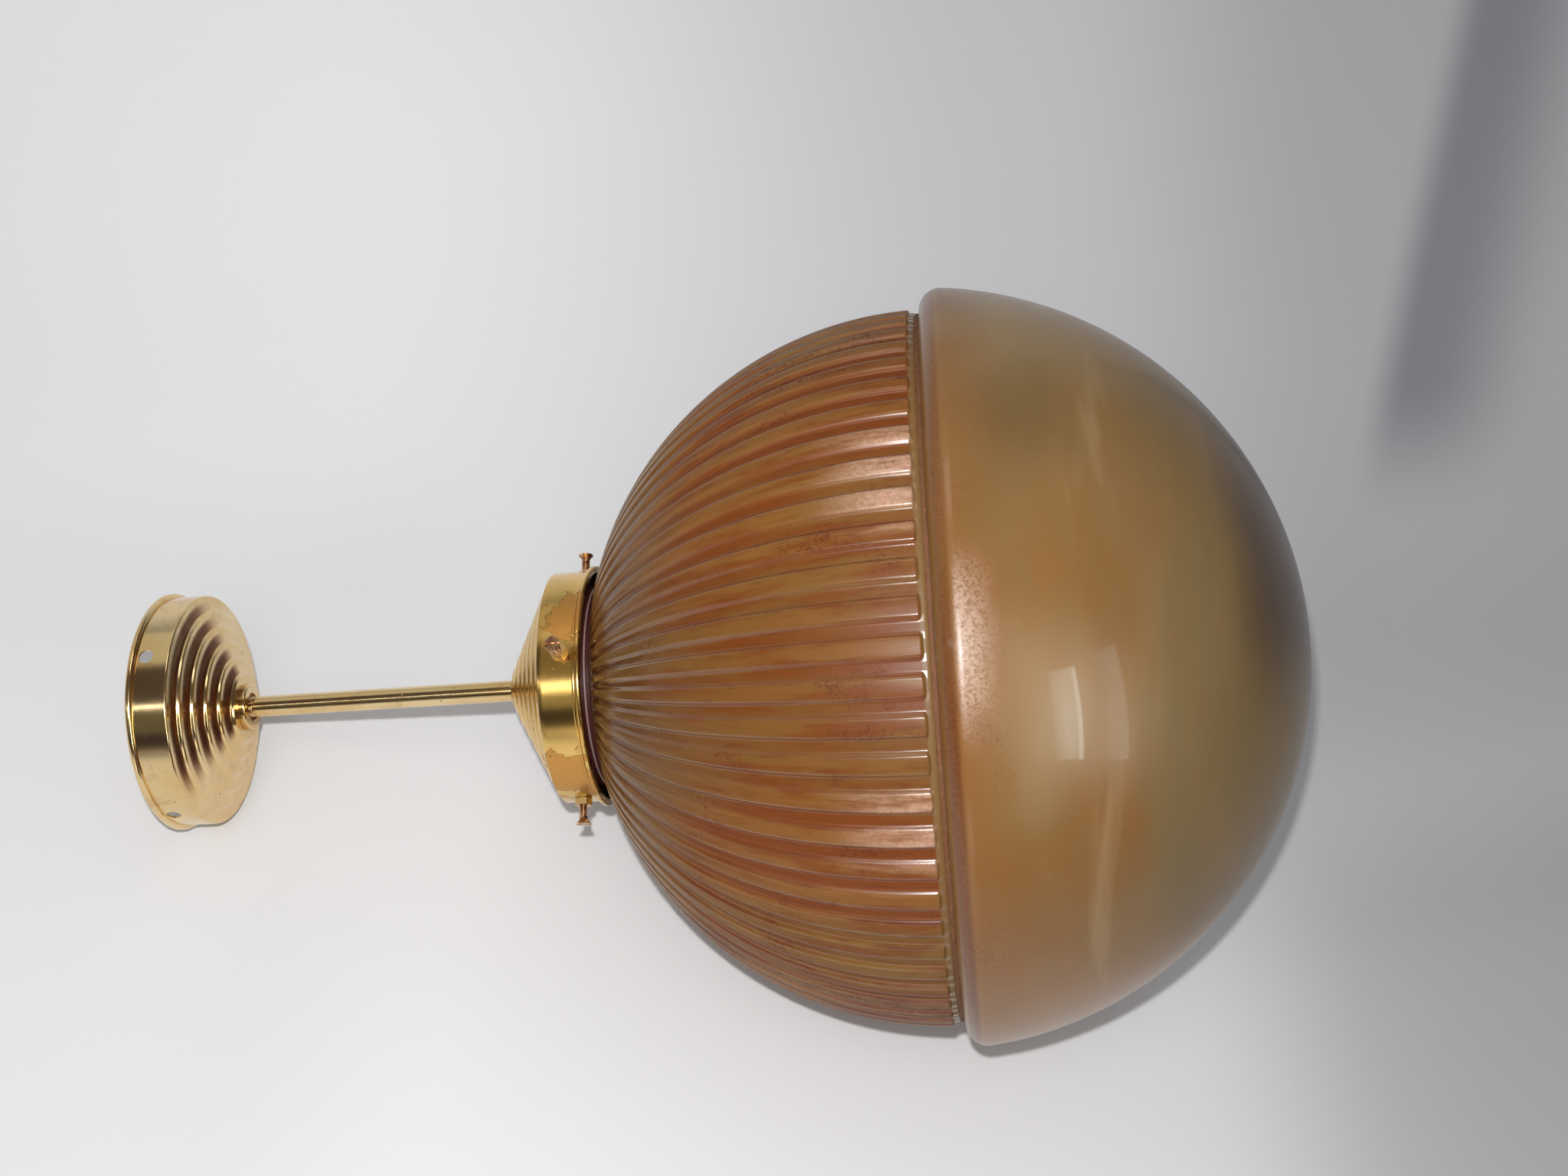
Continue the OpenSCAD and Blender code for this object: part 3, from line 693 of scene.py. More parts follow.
@dataclass(frozen=True)
class AmberGlass(Finish):
    """Ribbed amber glass: rust-brown grooves, tan and olive ribs, worn spots, pale frost, painted
    shade and sheen.
    """

    slot: Slot = Slot.AMBER_GLASS
    ribs: int = 68
    tan: Colour = (0.315, 0.138, 0.028)
    rust: Colour = (0.235, 0.058, 0.006)
    olive: Colour = (0.255, 0.128, 0.026)
    # Dark red-brown of worn spots and fine threads, also the colour of painted shade along one
    # flank of each rib, on the front middle and in the grooves near the neck
    line: Colour = (0.14, 0.026, 0.004)
    # Pale pink of the frost on chosen rib tops, with a painted sheen where they face the bright
    # room
    painted_sheen: Colour = (0.85, 0.52, 0.38)
    band: Colour = (0.27, 0.165, 0.060)
    clear: Colour = (0.52, 0.32, 0.085)
    # Painted shade in the gap under the gallery's rim, over the neck
    deep: Colour = (0.065, 0.012, 0.010)
    # Pale colour of a painted highlight along the neck's bead, speckled
    dust: Colour = (0.52, 0.36, 0.33)
    neck_tint: Colour = (1.0, 0.80, 0.48)
    streak: Grain = Grain(24, 4, 0.6)
    threads: Grain = Grain(70, 4, 0.65)
    cloud: Grain = Grain(3.2)
    chosen: Grain = Grain(4.0, 2, limits=(0.52, 0.62))
    speckle: Grain = Grain(620, 5, 0.7)
    worn: Grain = Grain(10, 4, 0.6, 0.4, (0.54, 0.64))
    swell: Grain = Grain(60, 4, 0.55)
    cloud_draw: float = 2.2
    streak_draw: float = 0.9
    side_lag: float = 0.52
    end_bow: float = 1.2
    end_z: Span = (-369.4, -368.7)
    band_z: Span = (-368.0, -369.2)
    frost_and_sheen_z: Span = (-322, -364)
    trough_shade_z: Span = (-262, -226)
    start_z: Span = (-220.6, -219.2)
    below_gap_z: Span = (-216.1, -216.6)
    above_gap_z: Span = (-216.6, -214.6)
    seam_low_z: Span = (-213.25, -213.05)
    seam_top_z: Span = (-212.15, -212.35)
    clear_z: Span = (-276, -240)
    aside_x: Span = (35, 95)
    front_shade_x: Span = (80, 10)
    front_shade_y: Span = (0, -50)
    back_y: Span = (0, 20)
    painted_light_x: tuple[tuple[Span, Span], ...] = (((56, 66), (108, 96)), ((-36, -44), (-78, -66)))

    def paint(self, graph: Graph) -> Value:
        """Builds the shader.

        Args:
            graph: an empty graph.

        Returns:
            The shader.
        """
        place = graph.place()
        x, y, z = graph.parts(place)

        # Where a rib's crest, ends and flanks are
        turn = y.bearing(x) * self.ribs
        crest = turn.cosine() * 0.5 + 0.5
        # side: one flank of each rib, which gets a dark line of painted shade
        side = (turn - math.pi * self.side_lag).cosine().ramp(0.90, 0.99)
        before_end = (z + (1 - crest) * (self.end_bow * MM)).over(self.end_z)
        ridge = crest.ramp(0.2, 0.6) * before_end
        # Grooves near the neck, which get painted shade
        trough_shade = crest.ramp(0.60, 0.15) * z.over(self.trough_shade_z)
        below = z.over(self.below_gap_z)
        starts = z.over(self.start_z) * below
        flank = crest.ramp(0.08, 0.22) * crest.ramp(0.76, 0.60) * below
        # The neck's bead, which gets a painted highlight and a gloss
        seam = z.over(self.seam_low_z) * z.over(self.seam_top_z)

        # Noises, drawn out along the ribs
        round_axis = graph.vectors("NORMALIZE", graph.vector(x, y, 0.0))
        along, fine = (graph.vectors("ADD", round_axis, graph.vector(0.0, 0.0, z * draw))
                       for draw in (self.cloud_draw, self.streak_draw))
        streak = graph.noise(fine, self.streak)
        threads = graph.noise(fine, self.threads)
        cloud = graph.noise(along, self.cloud)
        speckle = graph.noise(place, self.speckle)
        worn = graph.noise(along, self.worn) * speckle.ramp(0.48, 0.6)

        # What lies on the glass, and the painted shade and sheen on it
        # aside: the flank lines' painted shade, stronger away from the middle; front: the painted
        # shade of the front middle
        aside = abs(x).over(self.aside_x) * 0.7 + 0.1
        front = abs(x).over(self.front_shade_x) * y.over(self.front_shade_y)
        # Rib tops with frost and a painted sheen: near the joint where they face the bright room,
        # and chosen ones at the back
        sheen_ribs = total([x.over(start) * x.over(end) for start, end in self.painted_light_x]
                          + [y.over(self.back_y) * graph.noise(round_axis, self.chosen)])
        frost_and_sheen = (z.over(self.frost_and_sheen_z) * ridge * sheen_ribs * streak.ramp(0.66, 0.40)
                 * (0.55 + speckle.ramp(0.40, 0.6) * 0.45))
        film = graph.layered(
            self.rust,
            (ridge * 0.8, self.tan),
            (cloud.ramp(0.40, 0.62) * 0.7, self.olive),
            (streak.ramp(0.46, 0.64) * 0.75, self.rust),
            (threads.ramp(0.50, 0.66) * 0.35, self.line),
            # Painted shade: a dark line along one flank of each rib, weaker at the front middle
            (side * before_end * streak.ramp(0.38, 0.60) * aside, self.line),
            (worn * 0.85, self.line),
            # Painted shade: the glass darker at the front middle, on the -Y side
            (front * 0.24, self.line),
            # Painted shade in the grooves near the neck
            (trough_shade * 0.7, self.line),
            # Frost with a painted sheen on chosen rib tops
            (frost_and_sheen * 0.75, self.painted_sheen),
            (z.over(self.band_z) * 0.7, self.band),
            # Painted shade: the neck dark in the gap under the gallery's rim
            (z.over(self.above_gap_z), self.deep),
            # Painted highlight along the neck's bead, speckled
            (seam * (0.4 + speckle * 0.6), self.dust),
        )
        bent = graph.bump(graph.noise(place, self.swell) + threads * 0.14 + worn * 0.2, 0.3, 0.35)
        body = graph.surface(
            Base_Color=film,
            Roughness=0.42 - flank * 0.1 + worn * 0.2,
            IOR=GLASS_IOR,
            Specular_IOR_Level=0.02,
            Transmission_Weight=0.4,
            Coat_Weight=flank * 0.9 + frost_and_sheen * 0.3 + 0.01 + starts + seam * 0.5,
            Coat_Roughness=0.26,
            Normal=bent,
        )
        # The clear neck glass, with painted shade in its grooves
        neck = graph.surface(
            Base_Color=graph.mixed(threads.ramp(0.45, 0.62) * 0.25 + trough_shade * 0.8, self.clear,
                                   self.line),
            Roughness=0.05 + threads * 0.06,
            IOR=GLASS_IOR,
            Specular_IOR_Level=0.6,
            Specular_Tint=self.neck_tint,
            Transmission_Weight=0.85,
            Coat_Weight=flank * 0.25 + 0.02 + starts,
            Coat_Roughness=0.06,
            Normal=bent,
        )
        thin = z.over(self.clear_z) * z.over(self.above_gap_z[::-1]) * (0.8 - streak * 0.5)
        return graph.blend(thin, body, neck)


@dataclass(frozen=True)
class SmokyGlass(Finish):
    """Smooth smoky glass: tan and olive bands, orange clouds, a speckled worn rim, painted light
    and shade.
    """

    slot: Slot = Slot.SMOKY_GLASS
    tan: Colour = (0.275, 0.165, 0.064)
    olive: Colour = (0.225, 0.150, 0.062)
    orange: Colour = (0.26, 0.100, 0.018)
    # Pale tan of the paler bands, also of the painted glow on the front and the painted light on
    # the top
    pale: Colour = (0.40, 0.27, 0.135)
    lit: Colour = (0.40, 0.19, 0.06)
    shade: Colour = (0.135, 0.076, 0.024)
    # Colour of a painted dark reflection low on the bowl
    dark_reflection: Colour = (0.065, 0.034, 0.024)
    # Pale pink of the painted sheen under the rim
    painted_sheen: Colour = (0.80, 0.55, 0.42)
    speck: Colour = (0.15, 0.045, 0.012)
    bands: Grain = Grain(5.0, 4, 0.55, 0.5, stretch=(1, 1, 5.5))
    cloud: Grain = Grain(7, stretch=(1, 1, 1.6), shift=(0.4, 0.1, 0.2))
    fine: Grain = Grain(40, 5, 0.65, stretch=(1, 1, 3))
    speckle: Grain = Grain(700, 5, 0.7)
    mottle: Grain = Grain(34, 4, 0.6)
    swell: Grain = Grain(14)
    rim_drop: float = 373.6
    glow_patch: Patch = Patch((-10, -160, -405), 40)
    shade_patch: Patch = Patch((100, -135, -406), 66)
    orange_x: Span = (120, 0)
    painted_light_x: Span = (100, 160)
    lit_x: Span = (-95, -165)
    dark_reflection_x: Span = (-40, 20)
    dark_reflection_depth: Span = (125, 160)
    edge_depth: Span = (40, 4)
    sheen_start: Span = (7.5, 9.5)
    sheen_end: Span = (32, 14)
    sheen_top_x: Span = (58, 30)
    sheen_low_x: Span = (-30, 0)
    roll_start: Span = (1.5, 3.0)
    roll_end: Span = (8.0, 6.0)
    roll_x: Span = (60, -20)

    def paint(self, graph: Graph) -> Value:
        """Builds the shader.

        Args:
            graph: an empty graph.

        Returns:
            The shader.
        """
        place = graph.place()
        x, _, z = graph.parts(place)
        depth = -1.0 * z - self.rim_drop * MM
        bands = graph.noise(place, self.bands)
        cloud = graph.noise(place, self.cloud)
        fine = graph.noise(place, self.fine)
        speckle = graph.noise(place, self.speckle)
        mottle = graph.noise(place, self.mottle)

        # Where the painted glow, the painted shade patch and the painted dark reflection are
        glow = graph.spot(place, self.glow_patch, bands * 0.4)
        shade = graph.spot(place, self.shade_patch, cloud * 0.6)
        dark_reflection = (depth + bands * 0.03).over(self.dark_reflection_depth) * x.over(self.dark_reflection_x)

        # Where the rim is worn, and the band under it with a painted sheen on speckled patina
        edge = depth.over(self.edge_depth)
        patina_and_sheen = (depth.over(self.sheen_start) * (depth + mottle * 0.012).over(self.sheen_end)
                  * x.over(self.sheen_top_x) * x.over(self.sheen_low_x))
        painted_sheen = patina_and_sheen * speckle.ramp(0.34, 0.62)
        roll = depth.over(self.roll_start) * depth.over(self.roll_end)
        rolled = 0.35 + speckle.ramp(0.45, 0.6) * 0.3 + x.over(self.roll_x) * 0.35
        film = graph.layered(
            self.tan,
            (bands.ramp(0.36, 0.60), self.olive),
            (cloud.ramp(0.46, 0.68) * (x.over(self.orange_x) * 0.5 + 0.2), self.orange),
            (fine.ramp(0.40, 0.70) * 0.3, self.olive),
            # Painted glow on the front; paler bands; painted light on the top and on the lower edge
            (glow.ramp(0.0, 1.0) * 0.45, self.pale),
            (bands.ramp(0.40, 0.28) * 0.5, self.pale),
            (x.over(self.painted_light_x) * 0.85, self.pale),
            (x.over(self.lit_x) * 0.85, self.lit),
            # Painted dark reflection low on the bowl, near its bottom
            (dark_reflection * 0.8, self.dark_reflection),
            (shade.ramp(-0.2, 0.9) * 0.6, self.shade),
            (edge * cloud.ramp(0.35, 0.6) * 0.7, self.orange),
            # Painted sheen under the rim, on speckled patina
            (painted_sheen * 0.6, self.painted_sheen),
            (patina_and_sheen * speckle.ramp(0.60, 0.66) * 0.7, self.speck),
            (roll * rolled, self.speck),
            (edge * mottle.ramp(0.52, 0.64) * speckle.ramp(0.50, 0.62) * 0.7, self.speck),
        )
        return graph.surface(
            Base_Color=film,
            Roughness=0.29 + painted_sheen * 0.08 + cloud * 0.04,
            IOR=GLASS_IOR,
            Specular_IOR_Level=0.30,
            Transmission_Weight=0.3,
            Coat_Weight=0.24,
            Coat_Roughness=0.04,
            Normal=graph.bump(graph.noise(place, self.swell) + speckle * 0.012, 0.25, 0.8),
        )


@dataclass(frozen=True)
class Cement(Finish):
    """Dark setting cement between the two glasses, gritty and stained."""

    slot: Slot = Slot.CEMENT
    dark: Colour = (0.12, 0.04, 0.012)
    light: Colour = (0.30, 0.14, 0.05)
    grit: Grain = Grain(900, 5, 0.7)
    stain: Grain = Grain(60)

    def paint(self, graph: Graph) -> Value:
        """Builds the shader.

        Args:
            graph: an empty graph.

        Returns:
            The shader.
        """
        place = graph.place()
        grit = graph.noise(place, self.grit)
        stain = graph.noise(place, self.stain)
        return graph.surface(
            Base_Color=graph.mixed(grit.ramp(0.45, 0.75) * stain, self.dark, self.light),
            Roughness=0.6 + grit * 0.3,
            Normal=graph.bump(grit, 0.6, 0.25),
        )


@dataclass(frozen=True)
class Porcelain(Finish):
    """Glazed electrical porcelain, yellowed, with a few iron specks under the glaze."""

    slot: Slot = Slot.PORCELAIN
    white: Colour = (0.80, 0.77, 0.69)
    yellowed: Colour = (0.70, 0.62, 0.48)
    iron: Colour = (0.18, 0.10, 0.06)
    age: Grain = Grain(45, 4, 0.6)
    glaze: Grain = Grain(90)
    speck_scale: float = 190
    speck_edge: Span = (0.10, 0.04)

    def paint(self, graph: Graph) -> Value:
        """Builds the shader.

        Args:
            graph: an empty graph.

        Returns:
            The shader.
        """
        place = graph.place()
        age = graph.noise(place, self.age)
        specks = graph.cells(place, self.speck_scale).ramp(*self.speck_edge)
        colour = graph.layered(
            self.white, (age.ramp(0.35, 0.75), self.yellowed), (specks * 0.7, self.iron))
        return graph.surface(
            Base_Color=colour,
            Roughness=0.28 + age * 0.15,
            Coat_Weight=0.7,
            Coat_Roughness=0.05,
            Normal=graph.bump(graph.noise(place, self.glaze), 0.2, 0.2),
        )


# Outlines of turned and pressed pieces, as (radius, drop) points

# Degrees between the points of a pressed cone's crests and coves
CREST_STEP = 15
COVE_STEP = 9


def arc(centre: Point, radius: float, start: float, end: float, steps: int) -> list[Point]:
    """Points of an arc.

    Args:
        centre: radius and drop of the arc's centre.
        radius: the arc's own radius.
        start: first angle in degrees, where 0 points outwards and 90 points down.
        end: last angle in degrees.
        steps: number of pieces.

    Returns:
        The arc's points, both ends included.
    """
    angles = [math.radians(start + (end - start) * i / steps) for i in range(steps + 1)]
    return [(centre[0] + radius * math.cos(a), centre[1] + radius * math.sin(a)) for a in angles]


def line(start: Point, end: Point, steps: int) -> list[Point]:
    """Points of a straight line, both ends included."""
    return [(start[0] + (end[0] - start[0]) * i / steps, start[1] + (end[1] - start[1]) * i / steps)
            for i in range(steps + 1)]


def rounded(corners: Sequence[Point], radius: float, steps: int = 4) -> list[Point]:
    """A closed outline with every corner rounded.

    Args:
        corners: the sharp corners in order.
        radius: the rounding's radius, smaller where an edge is short.
        steps: pieces of each rounding.

    Returns:
        The rounded outline's points.
    """
    made: list[Point] = []
    count = len(corners)
    for i, corner in enumerate(corners):
        here = Vector(corner)
        before = Vector(corners[i - 1]) - here
        after = Vector(corners[(i + 1) % count]) - here
        reach = min(radius, before.length * 0.4, after.length * 0.4)
        first = here + before.normalized() * reach
        last = here + after.normalized() * reach
        for step in range(steps + 1):
            t = step / steps
            bent = first * (1 - t) ** 2 + here * 2 * t * (1 - t) + last * t ** 2
            made.append((bent.x, bent.y))
    return made


def pressed_cone(first: Point, last: Point, steps: int, round_r: float, dip: float) -> list[Point]:
    """A stepped cone whose crests run evenly from the first point to the last.

    Args:
        first: the outermost crest.
        last: where the next crest would be.
        steps: number of steps.
        round_r: radius of a crest.
        dip: how deep the coves between the crests are, from 0 to 1.

    Returns:
        The cone's points.
    """
    made: list[Point] = []
    crests = line(first, last, steps)
    for (r, drop), (next_r, next_drop) in zip(crests, crests[1:]):
        run = r - next_r - round_r
        fall = next_drop - drop - round_r * dip
        for turn in range(0, 91, CREST_STEP):
            a = math.radians(turn)
            made.append((r - round_r * (1 - math.cos(a)),
                         drop - round_r * dip * (1 - math.sin(a))))
        for turn in range(COVE_STEP, 91, COVE_STEP):
            a = math.radians(turn)
            even = turn / 90
            made.append((r - round_r - run * ((1 - dip) * even + dip * math.sin(a)),
                         drop + fall * ((1 - dip) * even + dip * (1 - math.cos(a)))))
    return made


# Meshes

# The radius at which a turned end closes, and how near two vertices are one
AXIS_R = 0.01
DOUBLES = 0.002
# How far towards a hole's edge the loops round it lie
LOOP_SHARES = (0.4, 0.72, 0.9, 1.0)
# A thread's rings for each turn, and the shares of its pitch in half a crest and in a flank
ROWS_PER_PITCH = 8
CREST_HALF = 0.125
FLANK = 0.25

# A ring's radius, its place along the axis, and whether a thread is cut there
Row = tuple[float, float, bool]
# Gives radius and drop for a ring's number and an angle in radians
RingShape = Callable[[int, float], Point]


@dataclass(frozen=True)
class Port:
    """A round radial hole through a skirt.

    Attributes:
        turn: its polar angle in degrees.
        drop: its centre's drop.
        radius: its radius.
        margin: half of the square of skirt that is remeshed round it.
    """

    turn: float
    drop: float
    radius: float
    margin: float


class Piece:
    """Vertices and faces of one piece while it is built."""

    def __init__(self, name: str) -> None:
        """Starts an empty piece.

        Args:
            name: the name of its object and mesh.
        """
        self.name = name
        self.points: list[Place] = []
        self.faces: list[tuple[int, ...]] = []

    def add(self, point: Place) -> int:
        """Adds a vertex in millimetres and returns its number."""
        self.points.append(point)
        return len(self.points) - 1

    def rings(
        self,
        rows: int,
        angles: Sequence[float],
        point: RingShape,
        skip: Optional[set[tuple[int, int]]] = None,
    ) -> list[list[int]]:
        """Adds a grid wrapped round the hanging axis, whose last ring joins its first.

        Args:
            rows: number of rings.
            angles: the columns' polar angles in radians.
            point: gives radius and drop for a ring's number and an angle.
            skip: (row, column) of quads that are left out.

        Returns:
            The vertices' numbers by row and column.
        """
        grid = []
        for row in range(rows):
            ring = []
            for a in angles:
                radius, drop = point(row, a)
                ring.append(self.add((radius * math.cos(a), radius * math.sin(a), -drop)))
            grid.append(ring)
        count = len(angles)
        for row in range(rows):
            here, there = grid[row], grid[(row + 1) % rows]
            for j in range(count):
                if skip and (row, j) in skip:
                    continue
                k = (j + 1) % count
                self.faces.append((here[j], here[k], there[k], there[j]))
        return grid

    def bridge(self, first: Sequence[int], second: Sequence[int]) -> None:
        """Joins two closed loops of vertices, equal in number, with faces."""
        for i in range(len(first)):
            j = (i + 1) % len(first)
            self.faces.append((first[i], first[j], second[j], second[i]))

    def object(self, sharp: float = 40.0, wipe: bool = True,
               outward: bool = True) -> bpy.types.Object:
        """Makes the Blender object.

        Args:
            sharp: edges that turn by more degrees than this stay sharp.
            wipe: whether vertices that no face uses and doubled ones are removed.
            outward: whether the faces of a closed piece are turned to face outwards.

        Returns:
            The object, linked to the scene, with its vertices in metres.
        """
        mesh = bpy.data.meshes.new(self.name)
        mesh.from_pydata([(x * MM, y * MM, z * MM) for x, y, z in self.points], [], self.faces)
        work = bmesh.new()
        work.from_mesh(mesh)
        if wipe:
            bmesh.ops.remove_doubles(work, verts=work.verts, dist=DOUBLES * MM)
            bmesh.ops.delete(work, geom=[v for v in work.verts if not v.link_faces],
                             context="VERTS")
        if outward:
            bmesh.ops.recalc_face_normals(work, faces=work.faces)
        work.to_mesh(mesh)
        work.free()
        for polygon in mesh.polygons:
            polygon.use_smooth = True
        mesh.set_sharp_from_angle(angle=math.radians(sharp))
        made = bpy.data.objects.new(self.name, mesh)
        bpy.context.scene.collection.objects.link(made)
        return made


def even_angles(count: int, start: float = 0.0) -> list[float]:
    """Evenly spaced polar angles in radians, from a start in degrees."""
    return [math.radians(start) + 2 * math.pi * i / count for i in range(count)]


def turned(name: str, outline: Sequence[Point], columns: int,
           ports: Sequence[Port] = ()) -> bpy.types.Object:
    """Turns a closed outline round the hanging axis.

    Args:
        name: the object's name.
        outline: closed (radius, drop) points.
        columns: points round the axis.
        ports: radial holes, each through an outer and an inner straight skirt.

    Returns:
        The object.
    """
    piece = Piece(name)
    skip: set[tuple[int, int]] = set()
    frames = []
    for port in ports:
        frames.append([_skirt_frame(outline, columns, port, outer) for outer in (True, False)])
        for rows, cols in frames[-1]:
            skip |= {(row, col % columns) for row in rows[:-1] for col in cols[:-1]}
    grid = piece.rings(len(outline), even_angles(columns), lambda row, a: outline[row], skip)
    for port, walls in zip(ports, frames):
        outer, inner = (_port_rim(piece, grid, outline, port, rows, cols) for rows, cols in walls)
        piece.bridge(outer, inner)
    return piece.object()


def _skirt_frame(outline: Sequence[Point], columns: int, port: Port,
                 outer: bool) -> tuple[list[int], list[int]]:
    """Finds the square of a skirt that a port is cut from.

    Args:
        outline: the turned outline.
        columns: points round the axis.
        port: the hole.
        outer: True for the outer wall, False for the inner one.

    Returns:
        The rows and the columns of the square, in the outline's order.
    """
    near = [i for i, (r, drop) in enumerate(outline)
            if abs(drop - port.drop) <= port.margin and r > port.radius * 2]
    middle = sum(outline[i][0] for i in near) / len(near)
    rows = [i for i in near if (outline[i][0] > middle) == outer]
    centre, reach = math.radians(port.turn), port.margin / middle
    first, last = (round(edge / (2 * math.pi) * columns)
                   for edge in (centre - reach, centre + reach))
    return rows, list(range(first, last + 1))


def _port_rim(piece: Piece, grid: list[list[int]], outline: Sequence[Point], port: Port,
              rows: list[int], cols: list[int]) -> list[int]:
    """Remeshes a square of skirt round a hole.

    Args:
        piece: the piece being built.
        grid: its vertices by row and column.
        outline: the turned outline.
        port: the hole.
        rows: the square's rows.
        cols: the square's columns.

    Returns:
        The vertices round the hole.
    """
    columns = len(grid[0])
    ordered = sorted(rows, key=lambda row: outline[row][1])
    loop = ([(ordered[0], col) for col in cols]
            + [(row, cols[-1]) for row in ordered[1:]]
            + [(ordered[-1], col) for col in reversed(cols[:-1])]
            + [(row, cols[0]) for row in reversed(ordered[1:-1])])
    wall = outline[ordered[0]][0]
    centre = math.radians(port.turn)
    rim = [grid[row][col % columns] for row, col in loop]
    for share in LOOP_SHARES:
        ring = []
        for row, col in loop:
            across = wall * (2 * math.pi * col / columns - centre)
            down = outline[row][1] - port.drop
            reach = math.hypot(across, down)
            scale = 1 + (port.radius / reach - 1) * share
            a = centre + across * scale / wall
            ring.append(piece.add((wall * math.cos(a), wall * math.sin(a),
                                   -(port.drop + down * scale))))
        piece.bridge(rim, ring)
        rim = ring
    return rim


def threaded(rows: Sequence[Row], radii: Span, pitch: float, facing: int = 1) -> RingShape:
    """Shapes rings of which some carry a thread.

    Args:
        rows: radius, place along the axis, and whether the thread is cut there, of each ring.
        radii: the thread's root and crest radius.
        pitch: its pitch.
        facing: 1 where the places are drops, -1 where they are heights.

    Returns:
        What gives radius and drop for a ring's number and an angle.
    """
    root, crest = radii

    def point(row: int, angle: float) -> Point:
        """Shapes one vertex.

        Args:
            row: the ring's number.
            angle: the vertex's polar angle in radians.

        Returns:
            Its radius and drop.
        """
        radius, at, cut = rows[row]
        if cut:
            turn = (at / pitch + angle / (2 * math.pi)) % 1.0
            share = (CREST_HALF + FLANK - abs(turn - 0.5)) / FLANK
            radius = root + (crest - root) * min(1.0, max(0.0, share))
        return radius, at * facing

    return point


def thread_rows(radius: float, first: float, last: float, pitch: float) -> list[Row]:
    """Rings close enough for a thread, from a first place along the axis to a last one."""
    steps = int((last - first) / pitch * ROWS_PER_PITCH)
    return [(r, at, True) for r, at in line((radius, first), (radius, last), steps)]


# The light's sub-assemblies


@dataclass
class Assembly:
    """A sub-assembly of the light. Its pieces ride on one body unless it says otherwise."""

    body: str = "lamp"

    def hold(self, piece: bpy.types.Object, finish: Finish, *nodes: str,
             body: Optional[str] = None) -> None:
        """Dresses a piece, makes it ride and stand for its CAD nodes, and reports it.

        Args:
            piece: the finished mesh.
            finish: its finish.
            nodes: the CAD nodes it replaces.
            body: the body it rides on, where that isn't the assembly's own.
        """
        finish.dress(piece)
        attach(piece, body or self.body)
        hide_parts(*nodes)
        LOG.info("%s: %d faces, stands for %s", piece.name, len(piece.data.polygons),
                 ", ".join(nodes))

    def keep(self, finish: Finish, *nodes: str) -> None:
        """Gives CAD nodes whose shape is right their finish.

        Args:
            finish: the finish.
            nodes: the CAD nodes.
        """
        for name in nodes:
            finish.dress(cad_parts[name])
            LOG.info("%s: CAD mesh with %s", name, finish.slot.value)

    def build(self) -> None:
        """Builds and dresses every piece."""
        raise NotImplementedError


